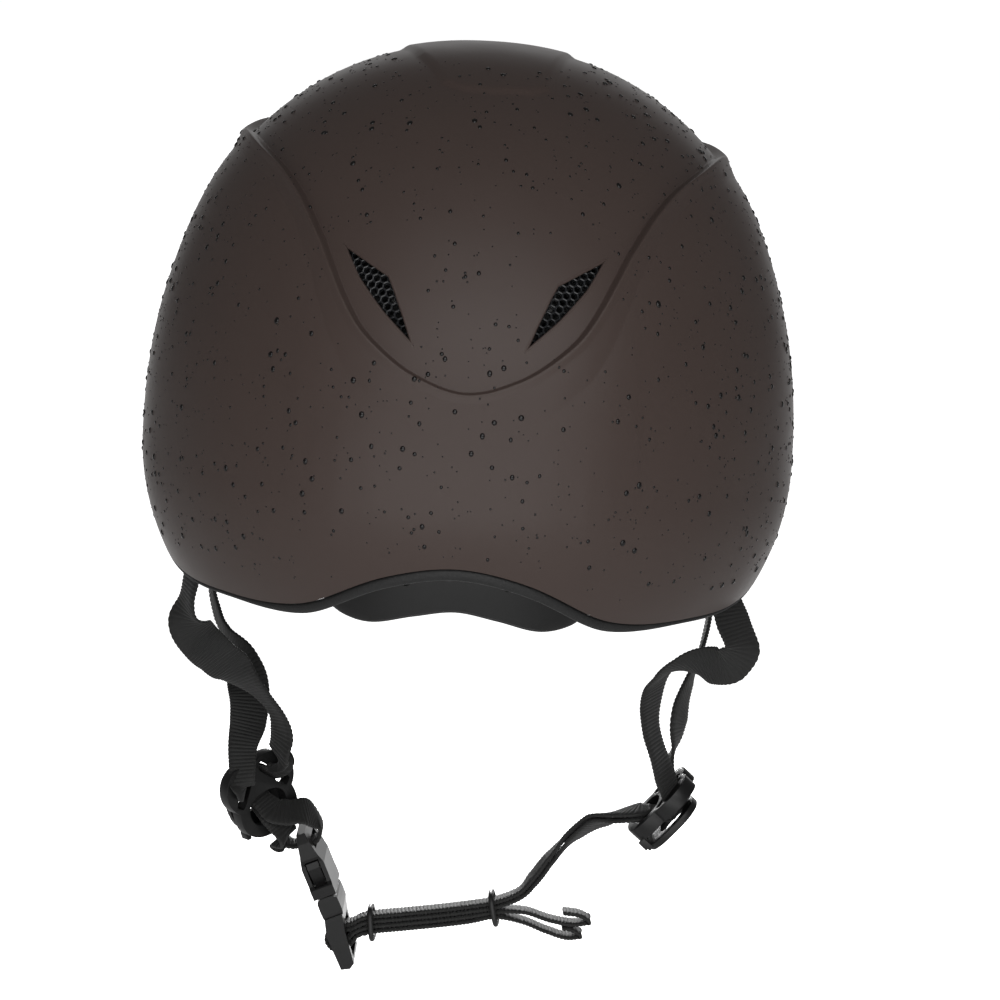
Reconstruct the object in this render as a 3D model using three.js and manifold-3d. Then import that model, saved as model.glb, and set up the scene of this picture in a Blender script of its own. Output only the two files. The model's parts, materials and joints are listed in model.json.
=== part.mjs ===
// Equestrian riding helmet, in millimetres. The wearer looks along -Y, the wearer's left is +X, +Z is up.
// The origin is the middle of the head opening, level with the brow edge of the shell.
// "Azimuth" below is the angle round the helmet from the middle of the back (0) towards the wearer's left.
import * as THREE from 'three';
import { mergeVertices } from 'three/addons/utils/BufferGeometryUtils.js';
import Module from 'manifold-3d';

const wasm = await Module();
wasm.setup();

// ---- driving dimensions ----
const SHELL = { side: 113.5, rear: 134, front: 132, height: 138.5, tuck: 0.08 };   // outer face of the shell
const CAVITY = { side: 84, rear: 103, front: 103, height: 112, tuck: 0.03 };       // inner face of the liner
const ROUNDNESS = 2.2;                 // superellipse power of plan and profile
const SHELL_WALL = 3;
const FIT_GAP = 0.5;                   // between shell, liner and inserts
const RIM_AZIMUTH = [0, 10, 25, 45, 62, 90, 125, 180];
const RIM_HEIGHT = [-19, -23.5, -38, -41, -41, -34, -14, 2];
const AROUND = 48;                     // facets round the dome
const DOWN = 11;                       // facets from crown to rim
const TRIM_HEIGHT = 4.2;
const VENT = [[21.5, 56.3], [15.2, 57.6], [12.8, 59.8], [10.5, 63.7], [8.8, 68.7], [13, 64.6], [17.3, 60.4]];
const PEAK_HALF_ANGLE = 62;
const PEAK_REACH = 50;
const PEAK_DROP = 0.3;                 // downward slope of the peak
const PEAK_SCREWS = [-38, 0, 38];      // degrees from the middle of the front
const WEB_WIDTH = 15;
const WEB_THICK = 1.5;
const LAYER = 1.8;                     // pitch of stacked webbing
const DIAL = { x: 0, y: 98.9, z: -15, radius: 14, depth: 7 };
const PINION = { teeth: 12, pitchRadius: 5.4, tip: 0.75, root: 1.15, back: 93.6 };
const RACK = { back: 93.8, depth: 3, body: 2.8, length: 46 };
const BUCKLE_TILT = 24.5;              // lean of the buckle from upright, degrees
const BUCKLE_MOUTH = [41.5, -2, -167];
const DIVIDER_LEFT = { at: [66, 7, -131], x: [0.72, 0.59, -0.37], z: [0.33, 0.18, 0.93], turn: -1 };
const DIVIDER_RIGHT = { at: [-76, 6, -125.5], x: [0, -1, 0], z: [-0.65, 0, 0.76], turn: 1 };
const LOCK_PIN = { out: -5.2, up: -13.2, radius: 0.65 };

// ---- finishes ----
const finish = (color, roughness, metalness = 0) =>
  new THREE.MeshStandardMaterial({ color, roughness, metalness });
const BROWN = finish(0x50463f, 0.55);
const FOAM = finish(0x1c1c1c, 0.9);
const RUBBER = finish(0x161616, 0.8);
const PLASTIC = finish(0x1b1b1b, 0.45);
const GLOSS = finish(0x121212, 0.25);
const FABRIC = finish(0x262626, 0.95);
const WEBBING = finish(0x1f1f1f, 0.85);
const STEEL = finish(0x3a3a3c, 0.35, 1);

const helmet = new THREE.Group();
const { degToRad, clamp, lerp } = THREE.MathUtils;
const vec = (x, y, z) => new THREE.Vector3(x, y, z);

// ---- geometry helpers ----
function solid(points, faces) {
  const geometry = new THREE.BufferGeometry();
  const coordinates = points.flatMap(p => [p.x, p.y, p.z]);
  geometry.setAttribute('position', new THREE.Float32BufferAttribute(coordinates, 3));
  const outward = signedVolume(points, faces) < 0 ? faces.map(([a, b, c]) => [a, c, b]) : faces;
  geometry.setIndex(outward.flat());
  return geometry;
}

function signedVolume(points, faces) {
  return faces.reduce((sum, [a, b, c]) => sum + points[a].dot(points[b].clone().cross(points[c])), 0);
}

function capFaces(points, indices) {
  const normal = vec(0, 0, 0);
  indices.forEach((index, k) => {
    const p = points[index];
    const q = points[indices[(k + 1) % indices.length]];
    normal.add(vec((p.y - q.y) * (p.z + q.z), (p.z - q.z) * (p.x + q.x), (p.x - q.x) * (p.y + q.y)));
  });
  normal.normalize();
  const reference = Math.abs(normal.z) < 0.9 ? vec(0, 0, 1) : vec(1, 0, 0);
  const across = reference.cross(normal).normalize();
  const along = normal.clone().cross(across);
  const flat = indices.map(index => new THREE.Vector2(points[index].dot(across), points[index].dot(along)));
  return THREE.ShapeUtils.triangulateShape(flat, []).map(face => face.map(k => indices[k]));
}

// A closed body through matching outlines; a ring joins its last outline to its first.
function loft(sections, ring = false) {
  const count = sections[0].length;
  const points = sections.flat();
  const faces = [];
  const spans = ring ? sections.length : sections.length - 1;
  for (let s = 0; s < spans; s++) {
    const a = s * count;
    const b = ((s + 1) % sections.length) * count;
    for (let k = 0; k < count; k++) {
      const n = (k + 1) % count;
      faces.push([a + k, a + n, b + n], [a + k, b + n, b + k]);
    }
  }
  if (!ring) {
    const first = [...Array(count).keys()];
    const last = first.map(k => (sections.length - 1) * count + k);
    capFaces(points, first).forEach(([a, b, c]) => faces.push([a, c, b]));
    capFaces(points, last).forEach(face => faces.push(face));
  }
  return solid(points, faces);
}

function toManifold(geometry) {
  const plain = geometry.clone();
  plain.deleteAttribute('normal');
  plain.deleteAttribute('uv');
  const merged = mergeVertices(plain, 1e-4);
  const vertProperties = new Float32Array(merged.attributes.position.array);
  const triVerts = new Uint32Array(merged.index.array);
  return new wasm.Manifold(new wasm.Mesh({ numProp: 3, vertProperties, triVerts }));
}

function fromManifold(body) {
  const mesh = body.getMesh();
  const geometry = new THREE.BufferGeometry();
  geometry.setAttribute('position', new THREE.BufferAttribute(mesh.vertProperties, 3));
  geometry.setIndex(new THREE.BufferAttribute(mesh.triVerts, 1));
  return geometry;
}

const cut = (geometry, ...tools) =>
  fromManifold(tools.reduce((body, tool) => body.subtract(toManifold(tool)), toManifold(geometry)));
const join = (first, ...others) =>
  fromManifold(others.reduce((body, part) => body.add(toManifold(part)), toManifold(first)));
const keep = (geometry, tool) => fromManifold(toManifold(geometry).intersect(toManifold(tool)));

function box(x0, x1, y0, y1, z0, z1) {
  const block = new THREE.BoxGeometry(x1 - x0, y1 - y0, z1 - z0);
  return block.translate((x0 + x1) / 2, (y0 + y1) / 2, (z0 + z1) / 2);
}

// A cylinder from one point to another.
function rod(from, to, radius, sides = 16) {
  const axis = to.clone().sub(from);
  const geometry = new THREE.CylinderGeometry(radius, radius, axis.length(), sides);
  geometry.applyQuaternion(new THREE.Quaternion().setFromUnitVectors(vec(0, 1, 0), axis.clone().normalize()));
  return geometry.translate(...from.clone().add(to).multiplyScalar(0.5).toArray());
}

// A plate with the outline in X and Z, standing along Y.
function plate(outline, y0, y1) {
  return loft([y0, y1].map(y => outline.map(([x, z]) => vec(x, y, z))));
}

function oval(x, z, halfX, halfZ, sides, power = 2) {
  return [...Array(sides).keys()].map(k => {
    const angle = 2 * Math.PI * k / sides;
    const wide = Math.sign(Math.cos(angle)) * Math.abs(Math.cos(angle)) ** (2 / power);
    const tall = Math.sign(Math.sin(angle)) * Math.abs(Math.sin(angle)) ** (2 / power);
    return [x + halfX * wide, z + halfZ * tall];
  });
}

function add(name, geometry, material, parent = helmet) {
  const mesh = new THREE.Mesh(geometry, material);
  mesh.name = name;
  parent.add(mesh);
  return mesh;
}

// Smooth curve through values at given places, level at both ends.
function curve(x, places, values) {
  const last = places.length - 1;
  const at = clamp(x, places[0], places[last]);
  let i = 0;
  while (i < last - 1 && at > places[i + 1]) i++;
  const chord = k => (values[k + 1] - values[k - 1]) / (places[k + 1] - places[k - 1]);
  const slope = k => (k === 0 || k === last ? 0 : chord(k));
  const h = places[i + 1] - places[i];
  const t = (at - places[i]) / h;
  return (2 * t ** 3 - 3 * t ** 2 + 1) * values[i] + (t ** 3 - 2 * t ** 2 + t) * h * slope(i)
    + (-2 * t ** 3 + 3 * t ** 2) * values[i + 1] + (t ** 3 - t ** 2) * h * slope(i + 1);
}

// ---- the dome ----
function domePoint(dome, azimuth, tilt) {
  const a = degToRad(azimuth);
  const length = Math.cos(a) > 0 ? dome.rear : dome.front;
  const sideways = (Math.abs(Math.sin(a)) / dome.side) ** ROUNDNESS;
  const lengthways = (Math.abs(Math.cos(a)) / length) ** ROUNDNESS;
  const plan = (sideways + lengthways) ** (-1 / ROUNDNESS);
  const upper = Math.min(tilt, Math.PI / 2);
  const below = dome.height * Math.max(tilt - Math.PI / 2, 0);
  const wide = Math.sin(upper) ** (2 / ROUNDNESS) * (1 - (dome.tuck + 0.03 * Math.cos(a)) * (below / 40) ** 2);
  const high = tilt > Math.PI / 2 ? -below : dome.height * Math.cos(upper) ** (2 / ROUNDNESS);
  return vec(plan * wide * Math.sin(a), plan * wide * Math.cos(a), high);
}

function domeNormal(dome, azimuth, tilt) {
  const step = 1e-3;
  const around = domePoint(dome, azimuth + 0.1, tilt).sub(domePoint(dome, azimuth - 0.1, tilt));
  const down = domePoint(dome, azimuth, tilt + step).sub(domePoint(dome, azimuth, tilt - step));
  return around.cross(down).normalize();
}

function skin(dome, azimuth, tilt, lift) {
  if (tilt < 0.01) return vec(0, 0, dome.height + lift);
  return domePoint(dome, azimuth, tilt).addScaledVector(domeNormal(dome, azimuth, tilt), lift);
}

function tiltAt(dome, height) {
  return height > 0 ? Math.acos((height / dome.height) ** (ROUNDNESS / 2)) : Math.PI / 2 - height / dome.height;
}

function rimHeight(azimuth) {
  const folded = Math.abs(((azimuth + 540) % 360) - 180);
  return curve(folded, RIM_AZIMUTH, RIM_HEIGHT);
}

// A bowl between an outer and an inner face, each given as a function of azimuth and of 0..1 from crown to rim.
function bowl(outer, inner) {
  const points = [];
  const faces = [];
  const ringStart = (side, j) => side * (1 + AROUND * DOWN) + 1 + (j - 1) * AROUND;
  [outer, inner].forEach((face, side) => {
    points.push(face(0, 0));
    const pole = side * (1 + AROUND * DOWN);
    for (let j = 1; j <= DOWN; j++) {
      for (let i = 0; i < AROUND; i++) points.push(face(i * 360 / AROUND, j / DOWN));
    }
    for (let i = 0; i < AROUND; i++) {
      const n = (i + 1) % AROUND;
      const flip = ([a, b, c]) => (side ? [a, c, b] : [a, b, c]);
      faces.push(flip([pole, ringStart(side, 1) + n, ringStart(side, 1) + i]));
      for (let j = 1; j < DOWN; j++) {
        const a = ringStart(side, j);
        const b = ringStart(side, j + 1);
        faces.push(flip([a + i, a + n, b + i]), flip([a + n, b + n, b + i]));
      }
    }
  });
  const outerRim = ringStart(0, DOWN);
  const innerRim = ringStart(1, DOWN);
  for (let i = 0; i < AROUND; i++) {
    const n = (i + 1) % AROUND;
    faces.push([outerRim + i, outerRim + n, innerRim + n], [outerRim + i, innerRim + n, innerRim + i]);
  }
  return solid(points, faces);
}

// ---- vents and screws ----
function ventOutline(scale, front, side) {
  const middle = VENT.reduce((sum, [a, t]) => [sum[0] + a / VENT.length, sum[1] + t / VENT.length], [0, 0]);
  return VENT.map(([a, t]) => {
    const azimuth = middle[0] + (a - middle[0]) * scale;
    const tilt = degToRad(middle[1] + (t - middle[1]) * scale);
    return [side * (front ? 180 - azimuth : azimuth), tilt];
  });
}

function ventPrism(scale, front, side, outside, inside) {
  const outline = ventOutline(scale, front, side);
  return loft([outside, inside].map(lift => outline.map(([a, t]) => skin(SHELL, a, t, lift))));
}

const VENTS = [
  ['rear', 'left', false, 1], ['rear', 'right', false, -1],
  ['front', 'left', true, 1], ['front', 'right', true, -1],
];

function peakRoot(angle) {
  return 9 - 7 * (angle / PEAK_HALF_ANGLE) ** 2;
}

function screwLine(angle, outside, inside) {
  const tilt = tiltAt(SHELL, peakRoot(angle) + 9);
  return [skin(SHELL, 180 - angle, tilt, outside), skin(SHELL, 180 - angle, tilt, inside)];
}

// ---- shell, liner and trim ----
function outerShell() {
  const face = lift => (azimuth, t) => skin(SHELL, azimuth, t * tiltAt(SHELL, rimHeight(azimuth)), lift);
  const holes = VENTS.map(([, , front, side]) => ventPrism(1, front, side, 6, -8));
  const drills = PEAK_SCREWS.map(angle => rod(...screwLine(angle, 6, -8), 2.1, 12));
  return cut(bowl(face(0), face(-SHELL_WALL)), ...holes, ...drills);
}

function strapPocket(anchor, grow, low, high) {
  const [x, y, turn] = anchor;
  const half = [9.5 + grow, 4 + grow];
  const geometry = box(-half[0], half[0], -half[1], half[1], low, high);
  return geometry.rotateZ(degToRad(turn)).translate(x, y, 0);
}

const ANCHORS = {
  strap_anchor_rear_left: [91.5, 33, 113],
  strap_anchor_rear_right: [-91.5, 33, 67],
  strap_anchor_front_left: [90.5, -26, 84],
  strap_anchor_front_right: [-90.5, -26, 96],
};
const anchorTop = name => (name.includes('rear') ? -26 : -21);

function liner() {
  const rim = (dome, azimuth) => tiltAt(dome, rimHeight(azimuth) + 0.3);
  const outer = (azimuth, t) => skin(SHELL, azimuth, t * rim(SHELL, azimuth), -SHELL_WALL - FIT_GAP);
  const inner = (azimuth, t) => skin(CAVITY, azimuth, t * rim(CAVITY, azimuth), 0);
  const pockets = VENTS.flatMap(([, , front, side]) => [
    ventPrism(1.45, front, side, 4, -7), ventPrism(0.7, front, side, 2, -50),
  ]);
  const drills = PEAK_SCREWS.map(angle => rod(...screwLine(angle, 0, -13), 2.6, 12));
  const dialNotch = box(-18, 18, 70, 108, -70, 2);
  const rackNotch = box(-54, 54, 70, 100, -70, 0);
  const clips = Object.entries(ANCHORS).map(([name, anchor]) =>
    strapPocket(anchor, 0.5, -70, anchorTop(name) + 0.5));
  return cut(bowl(outer, inner), ...pockets, ...drills, dialNotch, rackNotch, ...clips);
}

function edgeTrim() {
  const section = [
    [-0.2, -0.4], [-0.05, -2.2], [-0.8, -TRIM_HEIGHT], [-3.2, -TRIM_HEIGHT], [-4.1, -2.4], [-4.1, -0.4],
  ];
  const stations = [...Array(AROUND).keys()].map(i => {
    const azimuth = i * 360 / AROUND;
    const rim = skin(SHELL, azimuth, tiltAt(SHELL, rimHeight(azimuth)), 0);
    const outward = vec(rim.x, rim.y, 0).normalize();
    return section.map(([out, up]) => rim.clone().addScaledVector(outward, out).add(vec(0, 0, up)));
  });
  return loft(stations, true);
}

// ---- peak ----
function peak() {
  const steps = 22;
  const stations = [...Array(steps + 1).keys()].map(k => {
    const angle = lerp(-PEAK_HALF_ANGLE, PEAK_HALF_ANGLE, k / steps);
    const at = (height, lift) => skin(SHELL, 180 - angle, tiltAt(SHELL, peakRoot(angle) + height), lift);
    const reach = 4 + PEAK_REACH * Math.cos(degToRad(angle * 90 / PEAK_HALF_ANGLE)) ** 0.8;
    const root = at(0, 0.5);
    const edge = t => root.clone().add(vec(0, -reach * t, -reach * PEAK_DROP * (0.7 * t + 0.3 * t * t)));
    return [
      root, edge(0.5), edge(1), edge(1).add(vec(0, 0.4, 2)),
      edge(0.5).add(vec(0, 0, 2.4)), at(4, 3.4), at(13.4, 2.8), at(14.4, 0.5),
    ];
  });
  return cut(loft(stations), ...PEAK_SCREWS.map(angle => rod(...screwLine(angle, 8, -2), 2.1, 12)));
}

function peakScrew(angle) {
  const [head, seat] = screwLine(angle, 5.4, 4);
  const [, tip] = screwLine(angle, 4, -11);
  return join(rod(seat, head, 3.4, 16), rod(seat.clone().lerp(head, 0.3), tip, 1.7, 12));
}

// ---- padding ----
function pad(azimuths, heights, thick, across = 12, down = 5) {
  const lift = (u, v) => 0.5 + (thick - 1) * (1 - (2 * u - 1) ** 6) * (1 - (2 * v - 1) ** 4);
  const at = (u, v, out) => skin(CAVITY, lerp(...azimuths, u), tiltAt(CAVITY, lerp(...heights, v)), out);
  const column = (u, face) => [...Array(down + 1).keys()].map(k => face(u, k / down));
  return loft([...Array(across + 1).keys()].map(k => {
    const outer = column(k / across, (u, v) => at(u, v, -1.1));
    const inner = column(k / across, (u, v) => at(u, v, -1.2 - lift(u, v)));
    return [...outer, ...inner.reverse()];
  }));
}

function crownPad() {
  const rim = oval(0, 0, 34, 46, 24, 2.6);
  const at = (scale, drop) => rim.map(([x, y]) => {
    const radius = Math.hypot(x * scale / CAVITY.side, y * scale / CAVITY.rear);
    const high = CAVITY.height * (1 - radius ** ROUNDNESS) ** (1 / ROUNDNESS);
    return vec(x * scale, y * scale, high - drop);
  });
  return loft([at(0.15, 1.4), at(0.6, 1.4), at(1, 2), at(1, 4), at(0.85, 6.4), at(0.4, 7.4), at(0.15, 7.4)]);
}

// ---- nape cradle and size dial ----
const cradleFace = x => 90 - x * x / 150;

function napeCradle() {
  const low = x => curve(Math.abs(x), [0, 14, 28, 38, 50], [-42, -44.5, -48, -46.5, -40]);
  const top = x => curve(Math.abs(x), [0, 16, 30, 40, 50], [-2, -2, -10, -20, -32]);
  return loft([...Array(25).keys()].map(k => {
    const x = -50 + k * 100 / 24;
    const face = cradleFace(x);
    return [vec(x, face, top(x)), vec(x, face - 1, lerp(top(x), low(x), 0.6)), vec(x, face - 3, low(x)),
      vec(x, face - 0.8, low(x)), vec(x, face + 1.2, lerp(top(x), low(x), 0.6)), vec(x, face + 2.2, top(x))];
  }));
}

function dialCover() {
  const { x, y, z } = DIAL;
  const outer = plate(oval(x, z, 17, 12, 28, 4), 92.9, y - 0.7);
  const channel = box(-30, 30, 92, 97, z - 10.2, z + 10.2);
  return cut(outer, channel, rod(vec(x, 90, z), vec(x, 110, z), 3.1, 16));
}

function gearOutline() {
  const { teeth, pitchRadius, tip, root } = PINION;
  const corners = [[root, 9.2], [-tip, 3.2], [-tip, -3.2], [root, -9.2]];
  return [...Array(teeth).keys()].flatMap(k => corners.map(([drop, spread]) => {
    const angle = degToRad(90 - k * 360 / teeth + spread);
    return [DIAL.x + (pitchRadius - drop) * Math.cos(angle), DIAL.z + (pitchRadius - drop) * Math.sin(angle)];
  }));
}

function pinion() {
  return plate(gearOutline(), PINION.back, PINION.back + 3);
}

function dialKnob() {
  const { x, y, z, radius, depth } = DIAL;
  const grips = 18;
  const outline = [...Array(grips * 2).keys()].map(k => {
    const angle = Math.PI * k / grips;
    const r = radius - (k % 2);
    return [x + r * Math.cos(angle), z + r * Math.sin(angle)];
  });
  const shaft = rod(vec(x, PINION.back + 3.3, z), vec(x, y + 1, z), 2.7, 16);
  const face = outline.map(([px, pz]) => [px * 0.86, z + (pz - z) * 0.86]);
  return join(plate(outline, y, y + depth - 1.5), plate(face, y + 1, y + depth), shaft);
}

// The left rack runs over the pinion and reaches left; the right rack is the same piece turned half round.
function rack(side) {
  const { teeth, pitchRadius, tip, root } = PINION;
  const pitch = 2 * Math.PI * pitchRadius / teeth;
  const toothed = [];
  for (let k = -5; k < 5; k++) {
    const middle = (k + 0.5) * pitch;
    const tooth = [[-0.86, root], [-0.3, -tip], [0.3, -tip], [0.86, root]];
    toothed.push(...tooth.map(([dx, up]) => [middle + dx, pitchRadius + up]));
  }
  const top = pitchRadius + root + RACK.body;
  const [near, far] = [-14.4, RACK.length - 14];
  const outline = [...toothed, [far, pitchRadius + root], [far, top], [near, top], [near, pitchRadius + root]];
  const turned = outline.map(([x, z]) => [DIAL.x + side * x, DIAL.z + side * z]);
  return plate(turned, RACK.back, RACK.back + RACK.depth);
}

// From the end of its rack, round the inside of the liner to the temple.
function headBand(side) {
  const drop = side > 0 ? 0 : -16.4;
  const start = [vec(side * 33, 95.4, -6.8 + drop), vec(side * 44, 91, -7 + drop)];
  const round = [38, 52, 66, 80, 94, 108, 122, 132].map((azimuth, k) => {
    const { x, y } = domePoint(CAVITY, side * azimuth, Math.PI / 2).multiplyScalar(0.955);
    return vec(x, y, -8 + 0.5 * k + drop * Math.max(0, 1 - (k + 1) / 5));
  });
  const route = [...start, ...round];
  return ribbon(route, route.map(() => vec(0, 0, 1)), 24, 7, 1.2);
}

// ---- webbing ----
// A flat band along a smooth route; "widths" are the directions across the band at the same points.
function ribbon(points, widths, steps, width = WEB_WIDTH, thick = WEB_THICK) {
  const route = new THREE.CatmullRomCurve3(points, false, 'centripetal');
  const across = new THREE.CatmullRomCurve3(widths.map(w => w.clone().normalize()), false, 'catmullrom', 0.5);
  const sections = [];
  for (let k = 0; k <= steps; k++) {
    const t = k / steps;
    const middle = route.getPoint(t);
    const along = route.getTangent(t);
    const side = across.getPoint(t);
    side.addScaledVector(along, -side.dot(along)).normalize();
    const normal = along.clone().cross(side);
    const corner = (s, n) =>
      middle.clone().addScaledVector(side, s * width / 2).addScaledVector(normal, n * thick / 2);
    sections.push([corner(-1, -1), corner(1, -1), corner(1, 1), corner(-1, 1)]);
  }
  return loft(sections);
}

// Each row is a point of the route, the direction across the band there, and how far the band's layer lies
// from that point along its own normal.
function strap(rows, steps) {
  const points = rows.map(([x, y, z]) => vec(x, y, z));
  const widths = rows.map(([, , , x, y, z]) => vec(x, y, z));
  const lifted = points.map((point, k) => {
    const [before, after] = [points[Math.max(k - 1, 0)], points[Math.min(k + 1, points.length - 1)]];
    const along = after.clone().sub(before).normalize();
    const normal = along.cross(widths[k]).normalize();
    return point.clone().addScaledVector(normal, rows[k][6] ?? 0);
  });
  return ribbon(lifted, widths, steps);
}

// Point of a divider: across, out of its face, and up along it.
function onDivider(divider, across, out, up) {
  const x = vec(...divider.x).normalize();
  const z = vec(...divider.z).addScaledVector(x, -vec(...divider.z).dot(x)).normalize();
  const y = z.clone().cross(x);
  return vec(...divider.at).addScaledVector(x, across).addScaledVector(y, out).addScaledVector(z, up);
}

function rowOnDivider(divider, across, out, up, width) {
  const middle = vec(...divider.at);
  const direction = onDivider(divider, width[0], width[1], width[2]).sub(middle).multiplyScalar(divider.turn);
  return [...onDivider(divider, across, out, up).toArray(), ...direction.toArray()];
}

// Route through one slot of a divider: down its inner face, out of the slot, back through the big hole.
function throughDivider(divider, side, layer) {
  const slant = [0.6, 0, -0.8 * side];
  const halfway = [0.75, 0, -0.65 * side];
  const flat = [1, 0, 0];
  const places = [
    [side * 10.2, 3.8, 8.5, slant], [side * 7.5, 0.5, 6.4, slant], [side * 6.4, -2.2 - 1.8 * layer, 5.2, slant],
    [side * 4.5, -2.8 - 3.1 * layer, 3.4, halfway], [side * 1.4, -2.6 - 3.1 * layer, 0.4 - 1.5 * layer, flat],
    [0, 0.2 - 1.9 * layer, -3.9 - 1.8 * layer, flat],
  ];
  return places.map(([across, out, up, width]) => rowOnDivider(divider, across, out, up, width));
}

const LEFT_REAR = [
  [91.5, 33, -31, -0.4, 0.92, 0], [92, 33, -45, -0.42, 0.9, 0.05], [93.5, 33, -56, -0.36, 0.92, 0.14],
  [93, 30, -65, -0.4, 0.45, 0.8], [89, 26, -72, -0.21, 0.1, 0.97], [83, 20, -79, -0.14, 0.45, 0.88],
  [77, 14, -85, -0.07, 0.57, 0.82], [67, 11, -94, -0.09, 0.92, 0.39], [60, 10, -101, -0.21, 0.97, 0.1],
  [57, 10, -108, -0.28, 0.96, 0.05], [57.2, 9.5, -115, -0.1, 0.9, 0.3],
];
const LEFT_FRONT = [
  [90.5, -26, -26, 0.1, 1, 0], [90.5, -25.5, -44, 0, 1, 0], [90, -24, -62, -0.2, 0.97, -0.1],
  [87, -20, -72, -0.3, 0.95, 0], [84, -16, -79, -0.4, 0.9, -0.05], [80, -9, -87, -0.75, 0.66, 0],
  [75, -1, -97, -0.97, -0.15, -0.1], [71.5, 7, -104, -0.85, -0.5, 0.06], [75.5, 13, -111, -0.8, -0.35, 0.45],
  [78.5, 20, -118, -0.5, -0.3, 0.8],
];
// From the hole of the divider over the bar of the buckle and back, the ends given on the divider.
const LOOP_OUT = [
  [-0.8, 3.9, -6.6, [1, 0, 0]], [-4, 6.4, -8.5, [0.95, 0.25, -0.15]], [-9, 8.2, -10.5, [0.8, 0.55, -0.2]],
];
const LOOP_BACK = [
  [-1.5, 4.7, -16.9, [0.8, 0.55, 0]], [-1.2, 4.2, -11.6, [1, 0, 0]], [-0.4, 1.9, -8.2, [1, 0, 0]],
];
const LOOP_BAR = [
  [46.8, -0.6, -140.6, -0.1, -0.98, 0], [44.8, -2, -145, 0, -1, 0], [45.8, -2, -148.5, 0, -1, 0],
  [49.3, -2, -149.9, 0, -1, 0], [54.5, -2, -151.3, 0, -1, 0], [58.8, -1, -149.2, -0.2, -0.97, 0.1],
];
const RIGHT_REAR = [
  [-91.5, 33, -31, -0.4, -0.92, 0], [-92, 34, -44, -0.42, -0.9, 0], [-96, 38, -53, -0.6, -0.8, -0.1],
  [-100.5, 41, -61, -0.55, -0.65, -0.5], [-96, 40, -65.5, 0, -0.6, -0.78], [-88, 35, -68, 0.15, -0.65, -0.75],
  [-81, 29, -70.5, 0.1, -0.87, -0.5], [-74.5, 22, -74, -0.2, -0.97, -0.1], [-71, 16, -80, -0.47, -0.88, 0],
  [-69.8, 14, -88, -0.48, -0.88, -0.1], [-70.5, 14, -97, -0.36, -0.93, 0.1], [-74, 15, -107, -0.3, -0.9, 0.2],
];
const RIGHT_FRONT = [
  [-90.5, -26, -26, 0.1, -1, 0], [-90.5, -25.5, -44, 0, -1, 0], [-90.5, -24, -62, 0, -1, 0],
  [-88, -20, -76, -0.06, -1, 0], [-85, -14, -84, -0.24, -0.97, 0], [-82.5, -9, -91, -0.34, -0.94, 0],
  [-81, -5, -98, -0.4, -0.91, 0], [-80.5, -3.8, -106, -0.2, -0.95, -0.1],
];
// The two layers between the right divider and the chin, as the line between them and their distance from it.
const RIGHT_RUN = [
  [-60.5, 3, -133.2, 0.1, -0.97, -0.1, 1.2], [-53, 0, -137, 0.16, -0.9, -0.25, 1.3],
  [-45.5, -2, -143.6, 0.2, -0.88, -0.3, 1.3], [-38.5, -4, -152.4, 0.14, -0.95, -0.2, 1.15],
  [-32.4, -6, -161, 0, -1, -0.05, 0.95], [-28.5, -6, -165.6, 0, -1, 0, 0.9],
];
// The chin run is a stack of four layers from the buckle to the right, given as the line through its middle.
const CHIN_LINE = [
  [31.2, -2, -181.7], [27.6, -2.4, -179.9], [24.7, -3, -179.2], [13, -4, -177.6],
  [0.3, -5, -175.8], [-10, -5.5, -174], [-20, -6, -171.8],
];
const CHIN_SPLIT = [-28, -6, -166.1];
const TAILS = {
  inner: [
    [-30, -6, -172.2], [-40, -6, -174.8], [-49, -6, -175.6],
    [-53.4, -6, -174.2], [-50.4, -6, -172.3], [-44, -6, -171.6],
  ],
  outer: [
    [-30, -6, -176], [-38, -6, -178.8], [-46.4, -6, -180.8],
    [-50.6, -6, -179.6], [-47.6, -6, -177.8], [-44, -6, -177.4],
  ],
};

function leftWebbing() {
  const onLeft = rows => rows.map(row => rowOnDivider(DIVIDER_LEFT, ...row));
  const loop = [...onLeft(LOOP_OUT), ...LOOP_BAR, ...onLeft(LOOP_BACK)];
  const front = throughDivider(DIVIDER_LEFT, 1, 0);
  const rear = throughDivider(DIVIDER_LEFT, -1, 1).reverse();
  const up = LEFT_REAR.map(([x, y, z, a, b, c]) => [x, y, z, -a, -b, -c]).reverse();
  return strap([...LEFT_FRONT, ...front, ...loop, ...rear, ...up], 108);
}

function rightWebbing(rows, side, layer) {
  const exit = rowOnDivider(DIVIDER_RIGHT, 0, 3.9 - 1.5 * layer, -7.6 - 1.5 * layer, [1, 0, 0]);
  const run = RIGHT_RUN.map(row => [...row.slice(0, 6), (2 * layer - 1) * row[6]]);
  return strap([...rows, ...throughDivider(DIVIDER_RIGHT, side, layer), exit, ...run], 60);
}

const buckleFrame = new THREE.Matrix4().makeRotationY(degToRad(BUCKLE_TILT)).setPosition(...BUCKLE_MOUTH);
const LADDER_BAR = { x: 2.4, z: -18.6, radius: 1.5 };

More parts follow.
